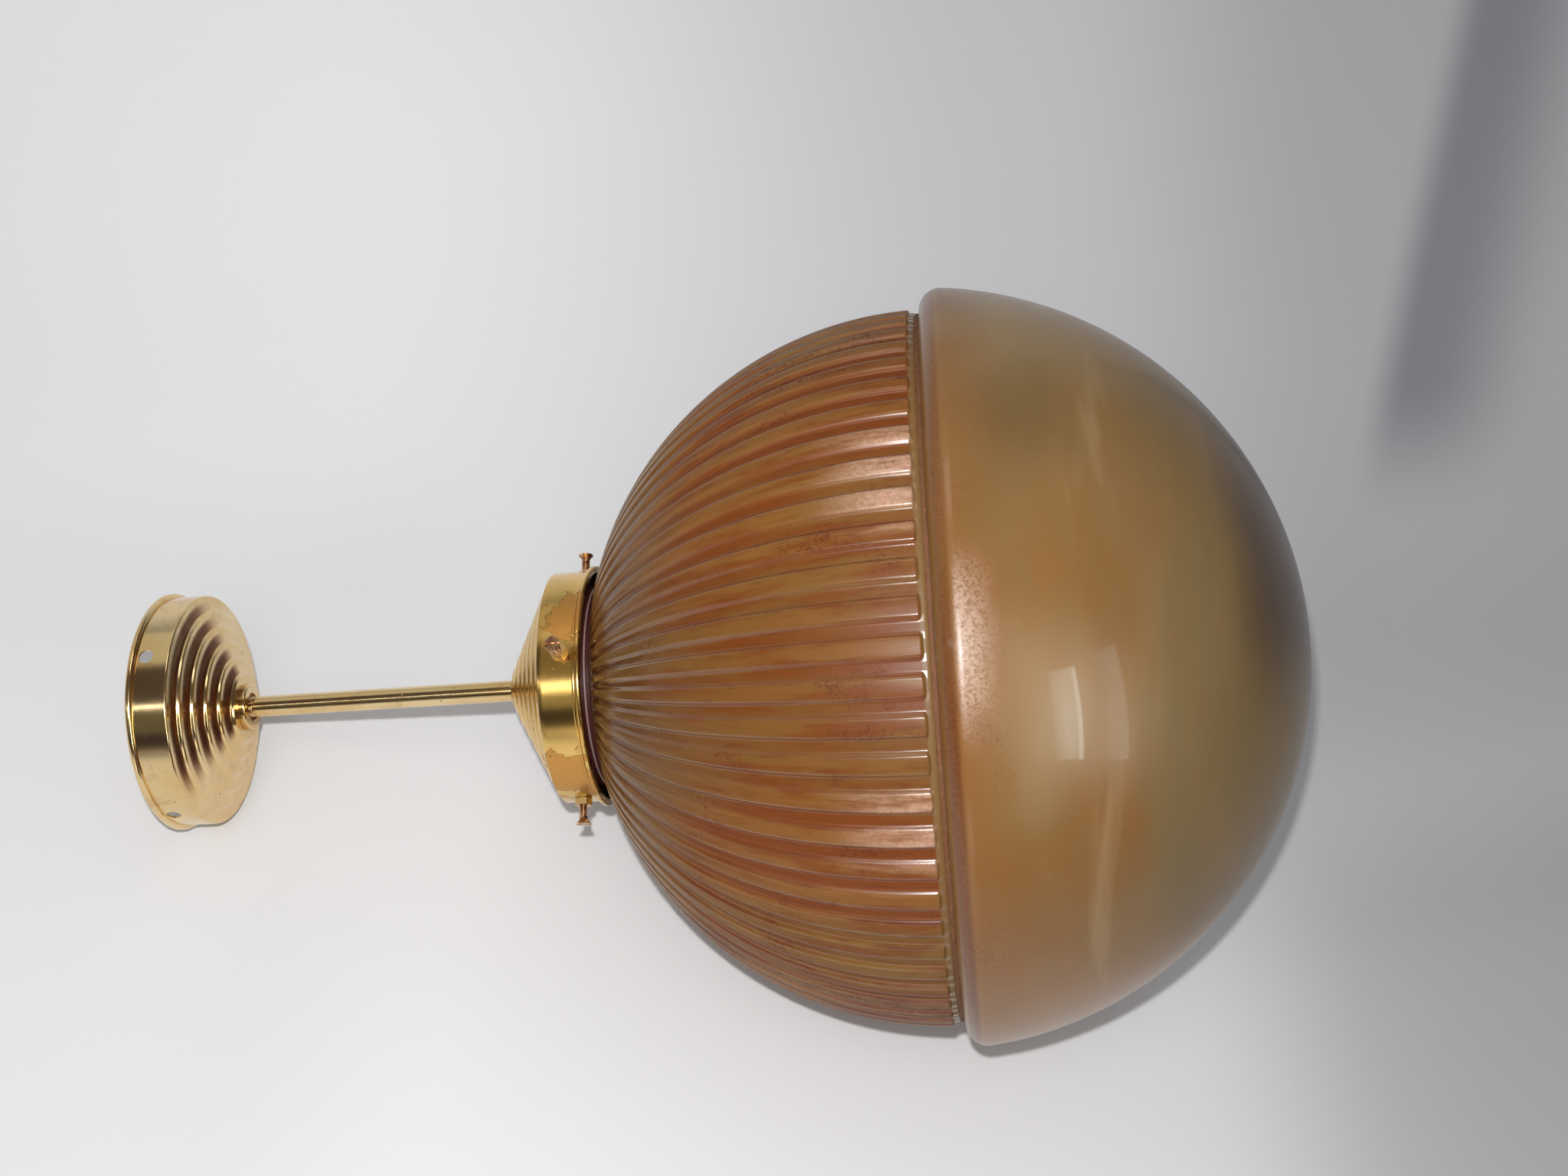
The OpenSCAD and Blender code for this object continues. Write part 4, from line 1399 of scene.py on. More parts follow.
@dataclass
class Canopy(Assembly):
    """The pressed ceiling canopy, with the boss, washer and lock nut at its crown."""

    skirt_r: float = 55.4
    rim_r: float = 57.5
    roll_r: float = 1.7
    skirt_h: float = 19.1
    step_h: float = 3.2
    steps: int = 5
    crown_r: float = 16.5
    sheet: float = 0.8
    crest_r: float = 0.9
    bore_r: float = 7.1
    hole_r: float = 3.4
    hole_drop: float = 7.8
    hole_turn: float = 31.0
    holes: int = 4
    boss_r: float = 11.1
    boss_h: float = 3.2
    dome_r: float = 0.9
    recess_r: float = 6.8
    recess_t: float = 1.5
    spigot_r: float = 7.0
    thread_bore_r: float = 4.9
    rim_edge: float = 0.3
    skirt_end: float = 2.0
    hole_margin: float = 0.9
    seat_gap: float = 0.02
    recess_edge: float = 0.25
    columns: int = 320
    boss_columns: int = 128
    finish: Finish = PolishedBrass()

    @property
    def drop(self) -> float:
        """Drop of the flat crown's outer face."""
        return self.skirt_h + self.steps * self.step_h

    def shell(self) -> bpy.types.Object:
        """Shapes the pressed shell with its rolled rim and four screw holes.

        Returns:
            The canopy's shell.
        """
        inset = self.sheet
        roll = arc((self.rim_r - self.roll_r, self.roll_r), self.roll_r, -90, 90, 16)
        skirt = line((self.skirt_r, 2 * self.roll_r),
                     (self.skirt_r, self.skirt_h - self.skirt_end), 18)
        cone = pressed_cone((self.skirt_r, self.skirt_h), (self.crown_r, self.drop), self.steps,
                            self.crest_r, 1.0)
        under = pressed_cone((self.skirt_r - inset, self.skirt_h - inset),
                             (self.crown_r - inset, self.drop - inset), self.steps,
                             self.crest_r, 1.0)
        inner = [(r - inset, drop) for r, drop in reversed(skirt)]
        outline = ([(self.skirt_r - inset, self.rim_edge),
                    (self.skirt_r - inset + self.rim_edge, 0)]
                   + roll + skirt + cone
                   + [(self.crown_r - self.crest_r, self.drop), (self.bore_r, self.drop),
                      (self.bore_r, self.drop - inset),
                      (self.crown_r - inset - self.crest_r, self.drop - inset)]
                   + list(reversed(under)) + inner)
        ports = [Port(self.hole_turn + 360 * i / self.holes, self.hole_drop, self.hole_r,
                      self.hole_r + self.hole_margin) for i in range(self.holes)]
        return turned("canopy_shell", outline, self.columns, ports)

    def boss(self) -> bpy.types.Object:
        """Shapes the turned boss, with a recess round the tube and soft edges.

        Returns:
            The boss.
        """
        low = self.drop + self.boss_h
        top = self.drop - self.sheet
        seat = self.drop + self.seat_gap
        dome = arc((self.boss_r - self.dome_r, low - self.dome_r), self.dome_r, 0, 90, 12)
        outline = ([(self.thread_bore_r, top), (self.spigot_r, top), (self.spigot_r, seat),
                    (self.boss_r, seat)] + dome
                   + [(self.recess_r + self.recess_edge, low),
                      (self.recess_r, low - self.recess_edge),
                      (self.recess_r, low - self.recess_t),
                      (self.thread_bore_r, low - self.recess_t)])
        return turned("canopy_boss_turned", outline, self.boss_columns)

    def build(self) -> None:
        """Builds and dresses every piece."""
        self.hold(self.shell(), self.finish, "canopy")
        self.hold(self.boss(), self.finish, "canopy_boss")
        self.keep(Steel(), "canopy_washer", "canopy_lock_nut")


@dataclass
class Stem(Assembly):
    """The brass tube, threaded at both ends."""

    radius: float = 5.0
    bore_r: float = 4.0
    root_r: float = 4.45
    tip_r: float = 4.85
    pitch: float = 1.0
    top: float = 26.8
    bottom: float = 193.6
    plain_from: float = 40.1
    plain_to: float = 167.6
    columns: int = 64
    finish: Finish = PolishedBrass()

    def tube(self) -> bpy.types.Object:
        """Shapes the tube as one grid: thread, plain length, thread, and back up the bore.

        Returns:
            The tube.
        """
        rows = [(self.bore_r, self.top, False),
                *thread_rows(self.tip_r, self.top, self.plain_from, self.pitch),
                (self.radius, self.plain_from, False), (self.radius, self.plain_to, False),
                *thread_rows(self.tip_r, self.plain_to, self.bottom, self.pitch),
                (self.bore_r, self.bottom, False)]
        piece = Piece("stem_threaded")
        piece.rings(len(rows), even_angles(self.columns),
                    threaded(rows, (self.root_r, self.tip_r), self.pitch))
        return piece.object(50)

    def build(self) -> None:
        """Builds and dresses every piece."""
        self.hold(self.tube(), self.finish, "stem_tube")


@dataclass
class Gallery(Assembly):
    """The shade gallery with its washer, lock nut, shade screws and their nuts."""

    skirt_r: float = 54.8
    rim_r: float = 57.2
    roll_r: float = 1.25
    top: float = 169.4
    shoulder: float = 192.4
    bottom: float = 212.6
    crown_r: float = 11.0
    steps: int = 6
    sheet: float = 0.8
    crest_r: float = 0.9
    relief: float = 0.4
    bead_t: float = 0.6
    bead_r: float = 0.9
    bead_up: float = 3.4
    bore_r: float = 4.95
    screws: int = 4
    screw_turn: float = 20.0
    screw_up: float = 10.0
    screw_r: float = 1.95
    screw_l: float = 19.2
    screw_tip_r: float = 47.8
    head_r: float = 3.6
    head_t: float = 2.3
    slot_w: float = 0.9
    slot_share: float = 0.4
    thread_pitch: float = 0.7
    thread_t: float = 0.32
    tip_r: float = 1.2
    tip_h: float = 0.5
    thread_start: float = 0.9
    thread_runout: float = 1.2
    plain_h: float = 0.8
    head_cone: float = 0.1
    head_edge: float = 0.12
    head_side: float = 0.18
    skirt_start: float = 2.4
    bead_room: float = 1.4
    screw_gap: float = 0.05
    port_margin: float = 0.8
    columns: int = 320
    screw_columns: int = 32
    finish: Finish = TarnishedBrass()

    @property
    def screw_drop(self) -> float:
        """Drop of the screws' axes."""
        return self.bottom - self.screw_up

    def cone(self, inset: float) -> list[Point]:
        """The stepped cone from crown to skirt.

        Args:
            inset: how far it is moved inwards, one sheet for the inside.

        Returns:
            Its points.
        """
        crests = pressed_cone((self.skirt_r - inset, -self.shoulder - inset),
                              (self.crown_r - inset, -self.top - inset), self.steps,
                              self.crest_r, self.relief)
        return [(r, -drop) for r, drop in reversed(crests)]

    def shell(self) -> bpy.types.Object:
        """Shapes the pressed gallery with its bead, rolled rim and screw holes.

        Returns:
            The gallery's shell.
        """
        inset = self.sheet
        bead_drop = self.bottom - self.bead_up
        swing = math.degrees(math.acos(1 - self.bead_t / self.bead_r))
        skirt = line((self.skirt_r, self.shoulder + self.skirt_start),
                     (self.skirt_r, bead_drop - self.bead_room), 24)
        bead = arc((self.skirt_r + self.bead_t - self.bead_r, bead_drop), self.bead_r,
                   -swing, swing, 8)
        roll = arc((self.rim_r - self.roll_r, self.bottom - self.roll_r), self.roll_r, -90, 90, 14)
        outline = ([(self.bore_r, self.top), (self.crown_r - self.crest_r, self.top)]
                   + self.cone(0) + skirt + bead + [(self.skirt_r, self.bottom - 2 * self.roll_r)]
                   + roll + [(self.skirt_r - inset, self.bottom)]
                   + [(r - inset, drop) for r, drop in reversed(skirt)]
                   + list(reversed(self.cone(inset)))
                   + [(self.crown_r - inset - self.crest_r, self.top + inset),
                      (self.bore_r, self.top + inset)])
        ports = [Port(self.screw_turn + 360 * i / self.screws, self.screw_drop,
                      self.screw_r + self.screw_gap, self.screw_r + self.port_margin)
                 for i in range(self.screws)]
        return turned("gallery_shell", outline, self.columns, ports)

    def screw(self, index: int) -> bpy.types.Object:
        """One threaded, countersunk and slotted shade screw in its place.

        Args:
            index: which screw, from 0.

        Returns:
            The screw.
        """
        head = self.screw_l - self.head_t
        root = self.screw_r - self.thread_t
        low_edge = self.screw_l - self.head_edge
        side = low_edge - self.head_side
        rows = [(AXIS_R, 0.0, False), (self.tip_r, 0.0, False), (root, self.tip_h, False),
                *thread_rows(self.screw_r, self.thread_start, head - self.thread_runout,
                             self.thread_pitch),
                (self.screw_r, head - self.plain_h, False), (self.screw_r, head, False),
                (self.head_r - self.head_cone, side - self.head_edge, False),
                (self.head_r, side, False), (self.head_r, low_edge, False),
                (self.head_r - self.head_edge, self.screw_l, False),
                (AXIS_R, self.screw_l, False)]
        piece = Piece(f"shade_screw_{index + 1}_threaded")
        piece.rings(len(rows), even_angles(self.screw_columns),
                    threaded(rows, (root, self.screw_r), self.thread_pitch, -1))
        made = piece.object(35)
        self._cut_slot(made)
        turn = math.radians(self.screw_turn + 360 * index / self.screws)
        made.data.transform(
            Matrix.Rotation(turn, 4, "Z")
            @ Matrix.Translation((self.screw_tip_r * MM, 0, -self.screw_drop * MM))
            @ Matrix.Rotation(math.radians(90), 4, "Y"))
        return made

    def _cut_slot(self, screw: bpy.types.Object) -> None:
        """Cuts the driving slot across a screw's head.

        Args:
            screw: the screw, standing on its tip at the origin.
        """
        depth = self.head_t * self.slot_share
        half = (self.head_r + 1) * MM
        wide = self.slot_w / 2 * MM
        low, high = (self.screw_l - depth) * MM, (self.screw_l + 1) * MM
        corners = [(x, y, z) for x in (-half, half) for y in (-wide, wide) for z in (low, high)]
        faces = [(0, 1, 3, 2), (4, 6, 7, 5), (0, 4, 5, 1), (2, 3, 7, 6), (0, 2, 6, 4), (1, 5, 7, 3)]
        mesh = bpy.data.meshes.new("slot_cutter")
        mesh.from_pydata(corners, [], faces)
        cutter = bpy.data.objects.new("slot_cutter", mesh)
        bpy.context.scene.collection.objects.link(cutter)
        cut = screw.modifiers.new("slot", "BOOLEAN")
        cut.operation = "DIFFERENCE"
        cut.solver = "EXACT"
        cut.object = cutter
        shown = bpy.context.evaluated_depsgraph_get()
        screw.data = bpy.data.meshes.new_from_object(screw.evaluated_get(shown))
        screw.modifiers.clear()
        bpy.data.objects.remove(cutter)

    def build(self) -> None:
        """Builds and dresses every piece."""
        self.hold(self.shell(), self.finish, "gallery")
        for index in range(self.screws):
            self.hold(self.screw(index), CopperBrownBrass(), f"shade_screw_{index + 1}",
                      body=f"screw_{index + 1}")
        self.keep(TerminalBrass(), "screw_nuts")
        self.keep(Steel(), "gallery_washer", "gallery_lock_nut")


@dataclass
class Globe(Assembly):
    """The two-part glass globe: ribbed reflector, cement and smooth bowl."""

    groove_r: float = 163.4
    rib_t: float = 1.6
    ribs: int = 68
    inner_r: float = 158.9
    neck_r: float = 47.5
    neck_bore_r: float = 43.0
    lip_r: float = 51.5
    lip_top: float = 193.95
    lip_bottom: float = 200.35
    dome_top: float = 214.8
    seam_drop: float = 212.7
    seam_r: float = 0.5
    dome_centre: float = 371.14
    dome_edge: float = 371.64
    rib_start_r: float = 56.0
    edge_band: float = 2.2
    rib_share: float = 0.58
    shoulder: float = 2.0
    narrow_shoulder: float = 0.8
    end_slope: float = 1.2
    start_slope: float = 0.9
    rib_corner: float = 2.6
    crown_fall: float = 0.35
    least_depth: float = 0.25
    narrow_depth: float = 0.42
    start_zone: float = 5.0
    end_zone: float = 4.0
    past_end: float = 0.3
    edge_land: float = 0.9
    edge_round: float = 0.5
    lip_round: float = 1.2
    neck_end: float = 1.0
    bowl_r: float = 174.93
    bowl_t: float = 4.0
    bowl_top: float = 373.64
    bowl_centre: float = 364.24
    corner_r: float = 164.23
    corner_drop: float = 383.24
    roll_r: float = 9.6
    flange_r: float = 158.1
    flange_edge: float = 0.6
    pole_turn: float = 89.6
    bowl_columns: int = 256
    cement_gap: float = 0.06
    cement_in: float = 0.1
    cement_w: float = 5.0
    cement_edge: float = 0.3
    cement_dent: float = 0.25
    cement_waves: tuple[int, int] = (23, 57)

    def rib_height(self, tilt: float, across: float) -> float:
        """How far the ribbed surface stands above the groove.

        Args:
            tilt: angle from the neck's axis in radians, which sets the place along a rib.
            across: distance from the rib's middle line as a share of the pitch, up to 0.5.

        Returns:
            The height.
        """
        radius = self.groove_r * math.sin(tilt)
        pitch = 2 * math.pi * radius / self.ribs
        half = pitch * self.rib_share / 2
        begin = math.asin(self.rib_start_r / self.groove_r)
        end = math.acos(-(self.dome_edge - self.edge_band - self.dome_centre) / self.groove_r)
        to_end = (end - tilt) * self.groove_r
        from_start = (tilt - begin) * self.groove_r
        slope = min(self.shoulder, half * self.narrow_shoulder)
        side = half + slope / 2 - abs(across) * pitch
        corner = self.rib_corner
        along = min(to_end * slope / self.end_slope, from_start * slope / self.start_slope)
        if side < corner and along < corner:
            inside = corner - math.hypot(corner - side, corner - along)
        else:
            inside = min(side, along)
        share = max(0.0, min(1.0, inside / slope))
        rise = share * share * (3 - 2 * share)
        crown = 1 - self.crown_fall * (abs(across) * pitch / (half + slope)) ** 2
        depth = min(self.rib_t, self.narrow_depth * half + self.least_depth)
        return depth * rise * crown

    def _neck(self) -> list[Point]:
        """Shapes the outside of the lip and the neck, down to the dome, with its bead.

        Returns:
            Its points, from the bore to the dome.
        """
        lip = rounded([(self.neck_bore_r, self.lip_top), (self.lip_r, self.lip_top),
                       (self.lip_r, self.lip_bottom), (self.neck_r, self.lip_bottom)],
                      self.lip_round)
        middle = (self.lip_top + self.lip_bottom) / 2
        return [*(q for q in lip if q[0] > self.neck_r or q[1] < middle),
                (self.neck_r, self.lip_bottom),
                *arc((self.neck_r, self.seam_drop), self.seam_r, -90, 90, 8),
                (self.neck_r, self.dome_top - self.neck_end)]

    def _tilts(self) -> list[float]:
        """Sets the tilts of the ribbed dome's rings, closer where the ribs start and end.

        Returns:
            Angles from the neck's axis in radians, from the neck down.
        """
        radius = self.groove_r
        first = math.asin(self.neck_r / radius)
        start = math.asin(self.rib_start_r / radius)
        last = math.acos(-(self.dome_edge - self.dome_centre) / radius)
        end = last - self.edge_band / radius
        run_in, run_out, past = (size / radius for size in
                                 (self.start_zone, self.end_zone, self.past_end))
        return [*(first + (start - first) * i / 6 for i in range(6)),
                *(start + run_in * (i / 9) ** 1.5 for i in range(9)),
                *(start + run_in + (end - start - run_in - run_out) * i / 52 for i in range(52)),
                *(end - run_out + (run_out + past) * i / 13 for i in range(14)),
                last - self.edge_land / radius]

    def reflector(self) -> bpy.types.Object:
        """Shapes the ribbed reflector as one closed shell.

        Returns:
            The reflector.
        """
        steps = [0, 0.05, 0.11, 0.16, 0.20, 0.24, 0.28, 0.32, 0.36, 0.41, 0.5]
        shares = steps + [1 - step for step in reversed(steps[1:-1])]
        angles = [2 * math.pi * (rib + share) / self.ribs
                  for rib in range(self.ribs) for share in shares]
        edge = [(self.groove_r - self.edge_round, self.dome_edge),
                (self.inner_r + self.edge_round, self.dome_edge)]
        bore_low = math.acos(-(self.dome_edge - self.dome_centre) / self.inner_r)
        bore_high = math.asin(self.neck_bore_r / self.inner_r)
        tilts = [bore_low + (bore_high - bore_low) * i / 40 for i in range(41)]
        bore = [(self.inner_r * math.sin(a), self.dome_centre - self.inner_r * math.cos(a))
                for a in tilts]
        rows: list[Union[Point, float]] = [*self._neck(), *self._tilts(), *edge, *bore]
        pitch = 2 * math.pi / self.ribs

        def point(row: int, angle: float) -> Point:
            """Shapes one vertex.

            Args:
                row: the ring's number. Its row holds a point, or a tilt where it is ribbed.
                angle: the vertex's polar angle in radians.

            Returns:
                Its radius and drop.
            """
            tilt = rows[row]
            if isinstance(tilt, tuple):
                return tilt
            across = angle / pitch % 1.0
            across = min(across, 1 - across)
            reach = self.groove_r + self.rib_height(tilt, across)
            return reach * math.sin(tilt), self.dome_centre - reach * math.cos(tilt)

        piece = Piece("reflector_ribbed")
        piece.rings(len(rows), angles, point)
        return piece.object(60, wipe=False)

    def bowl(self) -> bpy.types.Object:
        """Shapes the smooth bowl with its rolled shoulder, turned in to a flat flange.

        Returns:
            The bowl.
        """
        tilt = math.degrees(math.atan((self.corner_drop - self.bowl_centre) / self.corner_r))
        radii = (self.bowl_r, self.bowl_r - self.bowl_t)
        outer, inner = (
            arc((self.corner_r, self.corner_drop), roll_r, -90, tilt, steps)
            + arc((0, self.bowl_centre), radius, tilt, self.pole_turn, 72)[1:]
            for radius, roll_r, steps in zip(radii, (self.roll_r, self.roll_r - self.bowl_t),
                                             (18, 12)))
        in_r, edge = self.flange_r, self.flange_edge
        top, low = self.bowl_top, self.bowl_top + self.bowl_t
        outline = ([(in_r + edge, top)] + outer + list(reversed(inner))
                   + [(in_r + edge, low), (in_r, low - edge), (in_r, top + edge)])
        columns = self.bowl_columns
        piece = Piece("bowl_smooth")
        skip = {(len(outer), j) for j in range(columns)}
        grid = piece.rings(len(outline), even_angles(columns), lambda row, a: outline[row], skip)
        for row, radius in zip((len(outer), len(outer) + 1), radii):
            pole = piece.add((0.0, 0.0, -self.bowl_centre - radius))
            ring = grid[row]
            for j in range(columns):
                piece.faces.append((ring[j], ring[(j + 1) % columns], pole))
        return piece.object(50, wipe=False)

    def cement(self) -> bpy.types.Object:
        """Shapes the cement bead, squeezed a little unevenly between the two glasses.

        Returns:
            The bead.
        """
        gap, edge = self.cement_gap, self.cement_edge
        outer = min(self.groove_r, self.corner_r) - self.cement_in
        inner = outer - self.cement_w
        top, low = self.dome_edge + gap, self.bowl_top - gap
        slow, fast = self.cement_waves
        rows = [(inner, top), (outer - edge, top), (outer, top + edge), (outer, low - edge),
                (outer - edge, low), (inner, low)]

        def point(row: int, angle: float) -> Point:
            """Shapes one vertex.

            Args:
                row: the ring's number.
                angle: the vertex's polar angle in radians.

            Returns:
                Its radius and drop.
            """
            radius, drop = rows[row]
            if radius == outer:
                uneven = 0.6 * math.sin(slow * angle) + 0.4 * math.sin(fast * angle + row)
                radius -= self.cement_dent * (1 + uneven)
            return radius, drop

        piece = Piece("cement_bead")
        piece.rings(len(rows), even_angles(360), point)
        return piece.object(40)

    def build(self) -> None:
        """Builds and dresses every piece."""
        self.hold(self.reflector(), AmberGlass(ribs=self.ribs), "reflector_glass")
        self.hold(self.bowl(), SmokyGlass(), "bowl_glass")
        self.hold(self.cement(), Cement(), "cement_ring")


@dataclass
class Lampholder(Assembly):
    """The porcelain lampholder under the gallery, with its metal inside."""

    shell_top: float = 223.5
    shell_bottom: float = 244.0
    shell_r: float = 13.3
    shell_t: float = 0.5
    pocket_r: float = 8.8
    thread_depth: float = 0.28
    thread_pitch: float = 3.6
    thread_rows: int = 60
    columns: int = 96

    def screw_shell(self) -> bpy.types.Object:
        """Shapes the copper shell with its rolled round thread.

        Returns:
            The screw shell.
        """
        out_r = self.shell_r + self.shell_t
        skin = out_r - self.shell_r - self.thread_depth
        count = self.thread_rows
        drops = [self.shell_top + (self.shell_bottom - self.shell_top) * i / count
                 for i in range(count + 1)]
        under = self.shell_top + self.shell_t
        rows = [(self.pocket_r, self.shell_top, False),
                *((out_r, drop, True) for drop in drops),
                *((out_r - skin, drop, True) for drop in reversed(drops[1:])),
                (self.shell_r, under, False), (self.pocket_r, under, False)]

        def point(row: int, angle: float) -> Point:
            """Shapes one vertex.

            Args:
                row: the ring's number.
                angle: the vertex's polar angle in radians.

            Returns:
                Its radius and drop.
            """
            radius, drop, rolled = rows[row]
            wave = 0.5 - 0.5 * math.cos(2 * math.pi * drop / self.thread_pitch + angle)
            return radius - rolled * self.thread_depth * wave, drop

        piece = Piece("screw_shell_rolled")
        piece.rings(len(rows), even_angles(self.columns), point)
        return piece.object(50)

    def build(self) -> None:
        """Builds and dresses every piece."""
        self.hold(self.screw_shell(), Copper(), "screw_shell")
        self.keep(Porcelain(), "holder_cap", "holder_body")
        self.keep(TerminalBrass(), "holder_ring_nut", "entry_bush", "live_terminal",
                  "neutral_terminal", "contact_rivets")
        self.keep(Copper(), "centre_contact")
        self.keep(Steel(), "terminal_screws", "holder_screws")


# The studio, in metres


def aimed(place: Place, target: Place) -> tuple[Vector, Vector]:
    """How a lamp or card stands that faces a point.

    Args:
        place: its centre.
        target: the point that it faces.

    Returns:
        Where it faces and which way its width runs, as close to X as it can.
    """
    facing = (Vector(target) - Vector(place)).normalized()
    return facing, (Vector((1, 0, 0)) - facing * facing.x).normalized()


@dataclass(frozen=True)
class Lamp:
    """A rectangular lamp.

    Attributes:
        name: its name.
        place: its centre.
        size: its width along X and its length across that.
        power: watts.
        glossy: whether it shows in reflections.
    """

    name: str
    place: Place
    size: Point
    power: float
    glossy: bool = True

    def build(self, target: Place) -> None:
        """Adds the lamp.

        Args:
            target: the point that it faces.
        """
        data = bpy.data.lights.new(self.name, "AREA")
        data.shape = "RECTANGLE"
        data.size, data.size_y = self.size
        data.energy = self.power
        made = bpy.data.objects.new(self.name, data)
        facing, side = aimed(self.place, target)
        turn = Matrix((side, facing.cross(side) * -1, -facing)).transposed()
        made.matrix_world = Matrix.Translation(self.place) @ turn.to_4x4()
        made.visible_glossy = self.glossy
        bpy.context.scene.collection.objects.link(made)


@dataclass(frozen=True)
class Card:
    """A card that only shows in reflections: dark at level 0, bright above it.

    Attributes:
        name: its name.
        place: its centre.
        size: its width along X and its length across that.
        level: how strongly it shines.
        colour: the colour it shines in.
        lean: degrees that it is turned in its own plane.
        fade: heights, from dark to full strength, where it isn't even.
        streaks: the noise that makes an uneven card streaky.
    """

    name: str
    place: Place
    size: Point
    level: float
    colour: Colour = (1, 1, 1)
    lean: float = 0.0
    fade: Optional[Span] = None
    streaks: Grain = Grain(2.0, 2, stretch=(0.3, 0.3, 12))

    def paint(self, graph: Graph) -> Value:
        """Builds the shader.

        Args:
            graph: an empty graph.

        Returns:
            The shader.
        """
        shade: Input = self.colour
        if self.fade:
            place = graph.place()
            share = (graph.parts(place)[2].ramp(*self.fade)
                     * (0.55 + graph.noise(place, self.streaks) * 0.9))
            shade = graph.mixed(share, (0, 0, 0), self.colour)
        return graph.node("ShaderNodeEmission", inputs={"Color": shade, "Strength": self.level})

    def build(self, target: Place) -> None:
        """Adds the card.

        Args:
            target: the point that it faces.
        """
        facing, side = aimed(self.place, target)
        side = Matrix.Rotation(math.radians(self.lean), 3, facing) @ side
        other = facing.cross(side)
        piece = Piece(self.name)
        for u, v in ((-1, -1), (1, -1), (1, 1), (-1, 1)):
            corner = (Vector(self.place) + side * (u * self.size[0] / 2)
                      + other * (v * self.size[1] / 2))
            piece.add(tuple(corner / MM))
        piece.faces.append((0, 1, 2, 3))
        made = piece.object(180, outward=False)
        made.data.materials.append(new_material(self.name, self.paint))
        made.visible_camera = False
        made.visible_diffuse = False
        made.visible_transmission = False
        made.visible_shadow = False


